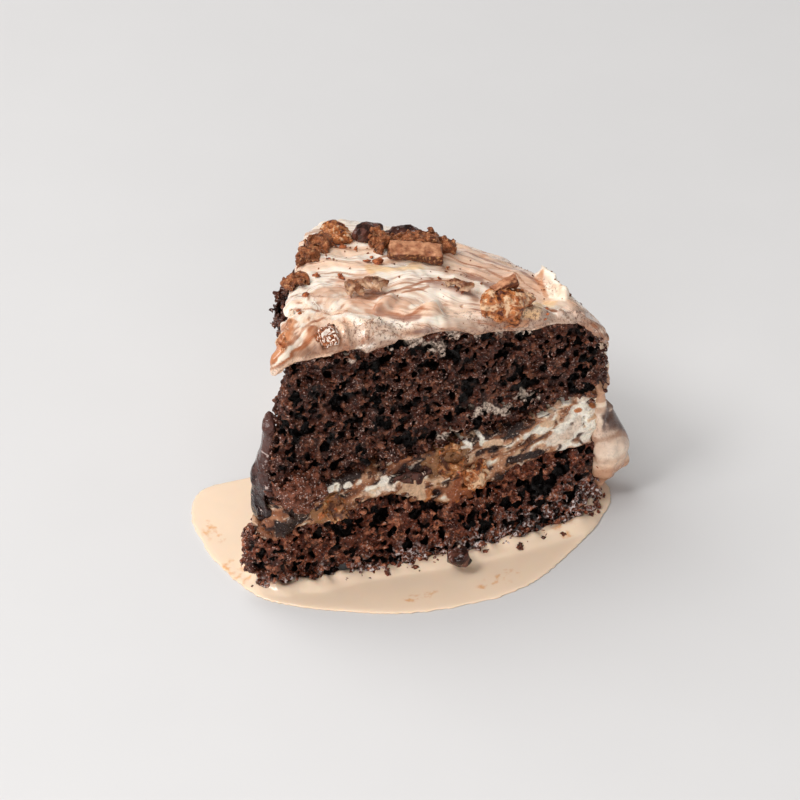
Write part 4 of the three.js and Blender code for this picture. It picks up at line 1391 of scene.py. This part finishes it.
# Broken open pieces: the middle and radius of the hollow
HOLLOWS = {
    "caramel_piece": ((56.5, -5.0, 34.0), 4.0), "broken_candy": ((15.0, -3.0, 91.0), 2.8),
    "honeycomb_piece": ((50.5, 67.0, 88.0), 4.2),
}


def flat_cuts(block, count, seed):
    """How far each cell lies beyond any of several flat cuts round the block's middle."""
    middle = (block.low + block.high) / 2
    half = (block.high - block.low) / 2 - PIECE_MARGIN
    beyond = np.full(block.shape, -FAR, np.float32)
    for way in np.random.default_rng(seed).normal(size=(count, 3)):
        way /= np.linalg.norm(way)
        reach = CUT_SHARE * np.linalg.norm(way * half)
        x, y = (block.x - middle[0]) * way[0], (block.y - middle[1]) * way[1]
        beyond = np.maximum(beyond, x + y + (block.z - middle[2]) * way[2] - reach)
    return beyond


def loose_piece(node, growth, relief, cuts, pores, seed):
    """Carves one piece of candy or cake: its cuts, its relief, its pores and any hollow."""
    block = block_round(node, PIECE_CELL, PIECE_MARGIN)
    field = distance(node, block, 1.0) - growth
    field = np.maximum(field, flat_cuts(block, cuts, seed + 11))
    surface = np.argwhere(np.abs(field) < 0.4)
    for number, (size, depth) in enumerate(relief):
        field = field + depth * (2 * np.abs(hills(block, size, seed + number)) - 0.6)
    rng = np.random.default_rng(seed + 9)
    centres = block.low + surface[rng.integers(0, len(surface), pores)] * block.cell
    radii = rng.uniform(0.4, 1.1, pores)
    pits = [(centre, radius, (1, 0, 0), 1.3) for centre, radius in zip(centres, radii)]
    field = np.maximum(field, -stamp(block, pits)[0])
    field = np.maximum(field, block.z - node_box(node)[1][2] - ABOVE_SOLID)
    if node in HOLLOWS:
        centre, radius = HOLLOWS[node]
        bowl = stamp(block, [(np.array(centre), radius, (1, 0, 0), 1.0)])[0]
        field = np.maximum(field, -bowl + 0.3 * hills(block, 2, seed + 10))
    places, triangles = main_body(*skin(block, field))
    piece = new_piece(node + "_form", places, triangles)
    # How much each corner faces up; the bar's finish paints such faces paler, as painted light
    store(piece, "top", smoothstep(normals_of(piece)[:, 2], 0.35, 0.8))
    store(piece, "level", (places[:, 2] - places[:, 2].min()) / np.ptp(places[:, 2]))
    return piece


class CAKE_OT_pieces(bpy.types.Operator):
    """Shapes the candy, nougat and cake pieces on the frosting and in the filling"""
    bl_idname = "cake.pieces"
    bl_label = "Candy and cake pieces"

    def execute(self, context):
        seed = 200
        for finish, slot, growth, relief, cuts, pores, nodes in KINDS:
            material = finish()
            for node in nodes:
                piece = loose_piece(node, growth, relief, cuts, pores, seed)
                place_piece(piece, [node], material)
                seed += 17
        return {"FINISHED"}


# Loose crumbs, dropped in groups: the middle of each group, its spread, how many there are, and
# the smallest and largest size
DARK_CRUMBS = [
    (75, 36, 5, 9, 0.4, 1.1), (50, 52, 6, 10, 0.4, 1.2), (36, 48, 5, 10, 0.4, 1.3),
    (84, 8, 6, 8, 0.4, 1.0), (109, 20, 4, 60, 0.35, 1.0), (107, 40, 6, 50, 0.35, 1.0),
    (50, 0, 20, 20, 0.3, 0.8), (90, 0, 9, 20, 0.3, 0.9), (68, 17, 4, 10, 0.3, 0.9),
]
ORANGE_CRUMBS = [
    (52, 42, 1.4, 4, 2, 3.6), (37, 34, 1, 3, 2, 3.4), (29, 37, 0.8, 2, 1.6, 2.8),
    (20, 24, 0.8, 2, 1.4, 2.4), (14, 18, 0.8, 2, 1.2, 2.2), (93, 3, 2, 3, 1.4, 2.8),
    (88, 14, 3, 4, 1.2, 2.6), (74, 36, 3, 4, 1.4, 2.6), (46, 56, 4, 5, 1.4, 2.6),
    (68, 17, 4, 5, 1.2, 2.4), (80, -1, 2, 3, 1.4, 2.6), (40, 46, 3, 3, 1, 2),
]

# The height that they drop from, and the lowest that they may land, in metres
DROPPED_FROM = 0.2
LOWEST_LANDING = 0.06


def surface_of(name):
    mesh = bpy.data.objects[name].data
    corners = [vertex.co.copy() for vertex in mesh.vertices]
    faces = [list(face.vertices) for face in mesh.polygons]
    return BVHTree.FromPolygons(corners, faces)


def crumbs(name, centres, sizes, seed, flat):
    """One mesh of many small uneven crumbs, turned at random.

    `flat` is a crumb's height beside its width, and the flatter it is the more level it lies.
    """
    rng = np.random.default_rng(seed)
    shape = bmesh.new()
    bmesh.ops.create_icosphere(shape, subdivisions=2, radius=1)
    shape.verts.ensure_lookup_table()
    ball = np.array([vertex.co for vertex in shape.verts])
    faces = np.array([[vertex.index for vertex in face.verts] for face in shape.faces])
    shape.free()
    places, triangles = [], []
    for number, (centre, size) in enumerate(zip(centres, sizes)):
        uneven = 1 + 0.28 * rng.normal(size=(len(ball), 1)).clip(-1.6, 1.6)
        tilt = rng.normal(size=(3, 3)) * [1, 1, flat]
        tilt[2, 2] += 1 - flat
        turn = np.linalg.qr(tilt[:, ::-1])[0][:, ::-1]
        widths = size * rng.uniform(0.6, 1.3, 3) * [1, 1, flat]
        places.append(centre + (ball * uneven * widths) @ turn.T)
        order = [0, 1, 2] if np.linalg.det(turn) > 0 else [2, 1, 0]
        triangles.append(faces[:, order] + number * len(ball))
    return new_piece(name, np.concatenate(places), np.concatenate(triangles))


def fallen_on(tree, groups, seed):
    """Drops crumbs on a surface, and gives where each lies and how large it is."""
    rng = np.random.default_rng(seed)
    centres, sizes = [], []
    for along, across, spread, count, smallest, largest in groups:
        for spot in rng.normal((along, across), spread, (count, 2)):
            size = rng.uniform(smallest, largest) * rng.uniform(0.5, 1)
            start = Vector((*((spot + POINT_OF_SLICE[:2]) * MM), DROPPED_FROM))
            hit = tree.ray_cast(start, Vector((0, 0, -1)))[0]
            if hit is not None and hit.z > LOWEST_LANDING:
                centres.append(np.array(hit) / MM - POINT_OF_SLICE + [0, 0, 0.15 * size])
                sizes.append(size / 2)
    return centres, sizes


def washed_out(count, seed):
    """Crumbs that milk has carried a little way from the foot."""
    rng = np.random.default_rng(seed)
    mesh = bpy.data.objects["crumb_lower"].data
    corners = np.empty(len(mesh.vertices) * 3, np.float32)
    mesh.vertices.foreach_get("co", corners)
    corners = corners.reshape(-1, 3) / MM - POINT_OF_SLICE
    low = (corners[:, 2] > 0.4) & (corners[:, 2] < 2.2)
    corners = corners[low & (faces_depth(*corners.T[:2]) < 3)]
    picked = corners[rng.integers(0, len(corners), count)]
    by_front = picked[:, 1] < picked[:, 0] * 0.5
    out = np.where(by_front[:, None], [0, -1, 0], BACK_OUT)
    away = rng.exponential(0.9, count).clip(0, 5)[:, None]
    sizes = rng.uniform(0.4, 1.2, count) * (1 - 0.14 * away[:, 0])
    centres = picked + out * away
    centres[:, 2] = np.maximum(rng.uniform(0.9, 1.6, count), 1.6 * sizes)
    return centres, sizes


class CAKE_OT_crumbs(bpy.types.Operator):
    """Scatters loose crumbs on the frosting and in the milk"""
    bl_idname = "cake.crumbs"
    bl_label = "Loose crumbs"

    def execute(self, context):
        tree = surface_of("frosting")
        dark = fallen_on(tree, DARK_CRUMBS, 301)
        orange = fallen_on(tree, ORANGE_CRUMBS, 302)
        washed = washed_out(640, 303)
        kinds = [
            ("dark_flecks", dark, 0.8, "cocoa_crumb", bpy.data.materials["cocoa crumb"]),
            ("orange_flecks", orange, 0.3, "honeycomb", flake_finish()),
            ("washed_crumbs", washed, 0.9, "sponge", bpy.data.materials["soaked crumb"]),
        ]
        for seed, (name, (centres, sizes), flat, slot, material) in enumerate(kinds, 311):
            piece = crumbs(name, centres, sizes, seed, flat)
            store(piece, "tone", np.random.default_rng(seed).uniform(0, 1, len(piece.data.vertices)))
            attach(piece, "root")
            piece.data.materials.append(material)
        return {"FINISHED"}


class CAKE_OT_stage(bpy.types.Operator):
    """Sets up the pale floor, the soft light and the camera"""
    bl_idname = "cake.stage"
    bl_label = "Stage"

    def execute(self, context):
        stage = context.scene.cake_stage
        mesh = bpy.data.meshes.new("floor")
        half = stage.floor / 2
        corners = [(-half, -half, 0), (half, -half, 0), (half, half, 0), (-half, half, 0)]
        mesh.from_pydata(corners, [], [(0, 1, 2, 3)])
        floor = bpy.data.objects.new("floor", mesh)
        context.scene.collection.objects.link(floor)
        look = Finish("pale floor")
        pale = linear(shown(context.scene.cake_colours.floor))
        shade = look.mix(look.noise(40, 2), tuple(0.97 * part for part in pale), pale)
        look.set(Base_Color=shade, Roughness=0.6)
        floor.data.materials.append(look.material)
        add_light("key", stage.key, stage.key_size, azimuth=187, elevation=52, away=1.4, glossy=True)
        add_light("overhead", stage.fill, 2.8, azimuth=128, elevation=58, away=2.8, glossy=False)
        add_light("front", stage.front, 1.4, azimuth=242, elevation=13, away=1.8, glossy=False)
        world = bpy.data.worlds.new("studio")
        world.use_nodes = True
        background = world.node_tree.nodes["Background"]
        background.inputs["Color"].default_value = (1.0, 1.0, 1.0, 1)
        background.inputs["Strength"].default_value = stage.surround
        context.scene.world = world
        context.scene.view_settings.view_transform = "Standard"
        add_camera(context.scene)
        return {"FINISHED"}


def add_light(name, power, size, azimuth, elevation, away, glossy):
    """A square soft light aimed at the cake, from two angles in degrees and how far away.

    A light that isn't glossy doesn't show in wet surfaces.
    """
    light = bpy.data.lights.new(name, "AREA")
    light.energy = power
    light.size = size
    turn, lift = math.radians(azimuth), math.radians(elevation)
    lamp = bpy.data.objects.new(name, light)
    flat = math.cos(lift)
    direction = Vector((flat * math.cos(turn), flat * math.sin(turn), math.sin(lift)))
    lamp.location = direction * away
    lamp.visible_glossy = glossy
    lamp.rotation_euler = direction.to_track_quat("Z", "Y").to_euler()
    bpy.context.scene.collection.objects.link(lamp)


# The photo's viewing angle: where the camera stands and the place it's aimed at, in metres
CAMERA_AT = Vector((-0.4077, -0.8434, 0.6779))
AIMED_AT = Vector((0.0153, 0.0435, 0.0))

# The camera's lens and the width of its sensor, in mm
LENS = 157.5
SENSOR = 36


def add_camera(scene):
    camera = bpy.data.cameras.new("camera")
    camera.lens = LENS
    camera.sensor_width = SENSOR
    view = bpy.data.objects.new("camera", camera)
    view.location = CAMERA_AT
    view.rotation_euler = (CAMERA_AT - AIMED_AT).to_track_quat("Z", "Y").to_euler()
    scene.collection.objects.link(view)
    scene.camera = view


class CakeStage(bpy.types.PropertyGroup):
    """The floor and the lights"""
    floor: amount("Floor", "Width of the floor", 6.0, "LENGTH")
    key: amount("Key light", "Power of the main light", 6.8)
    key_size: amount("Key size", "Width of the main light", 0.42, "LENGTH")
    fill: amount("Overhead", "Power of the soft box overhead", 70.0)
    front: amount("Front", "Power of the soft box in front", 24.0)
    surround: amount("Surround", "Light from all round", 0.2)


class CAKE_PT_parts(bpy.types.Panel):
    """Lists the pieces of the cake slice"""
    bl_idname = "CAKE_PT_parts"
    bl_label = "Cake slice"
    bl_space_type = "VIEW_3D"
    bl_region_type = "UI"
    bl_category = "Cake"

    def draw(self, context):
        for operator in OPERATORS:
            self.layout.operator(operator.bl_idname)
        for name, kind in GROUPS.items():
            group = getattr(context.scene, name)
            for field in kind.__annotations__:
                self.layout.prop(group, field)


GROUPS = {
    "cake_colours": CakeColours, "cake_crumb": CakeCrumbSizes, "cake_cream": CakeCreamSizes,
    "cake_stage": CakeStage,
}
OPERATORS = [
    CAKE_OT_sponges, CAKE_OT_filling, CAKE_OT_frosting, CAKE_OT_rim_cream, CAKE_OT_glaze,
    CAKE_OT_milk, CAKE_OT_pieces, CAKE_OT_crumbs, CAKE_OT_stage,
]


def register():
    for kind in [*GROUPS.values(), *OPERATORS, CAKE_PT_parts]:
        bpy.utils.register_class(kind)
    for name, kind in GROUPS.items():
        setattr(bpy.types.Scene, name, bpy.props.PointerProperty(type=kind))


def unregister():
    for name in GROUPS:
        delattr(bpy.types.Scene, name)
    for kind in reversed([*GROUPS.values(), *OPERATORS, CAKE_PT_parts]):
        bpy.utils.unregister_class(kind)


def main():
    register()
    for operator in OPERATORS:
        group, name = operator.bl_idname.split(".")
        getattr(getattr(bpy.ops, group), name)()


if __name__ == "__main__":
    main()
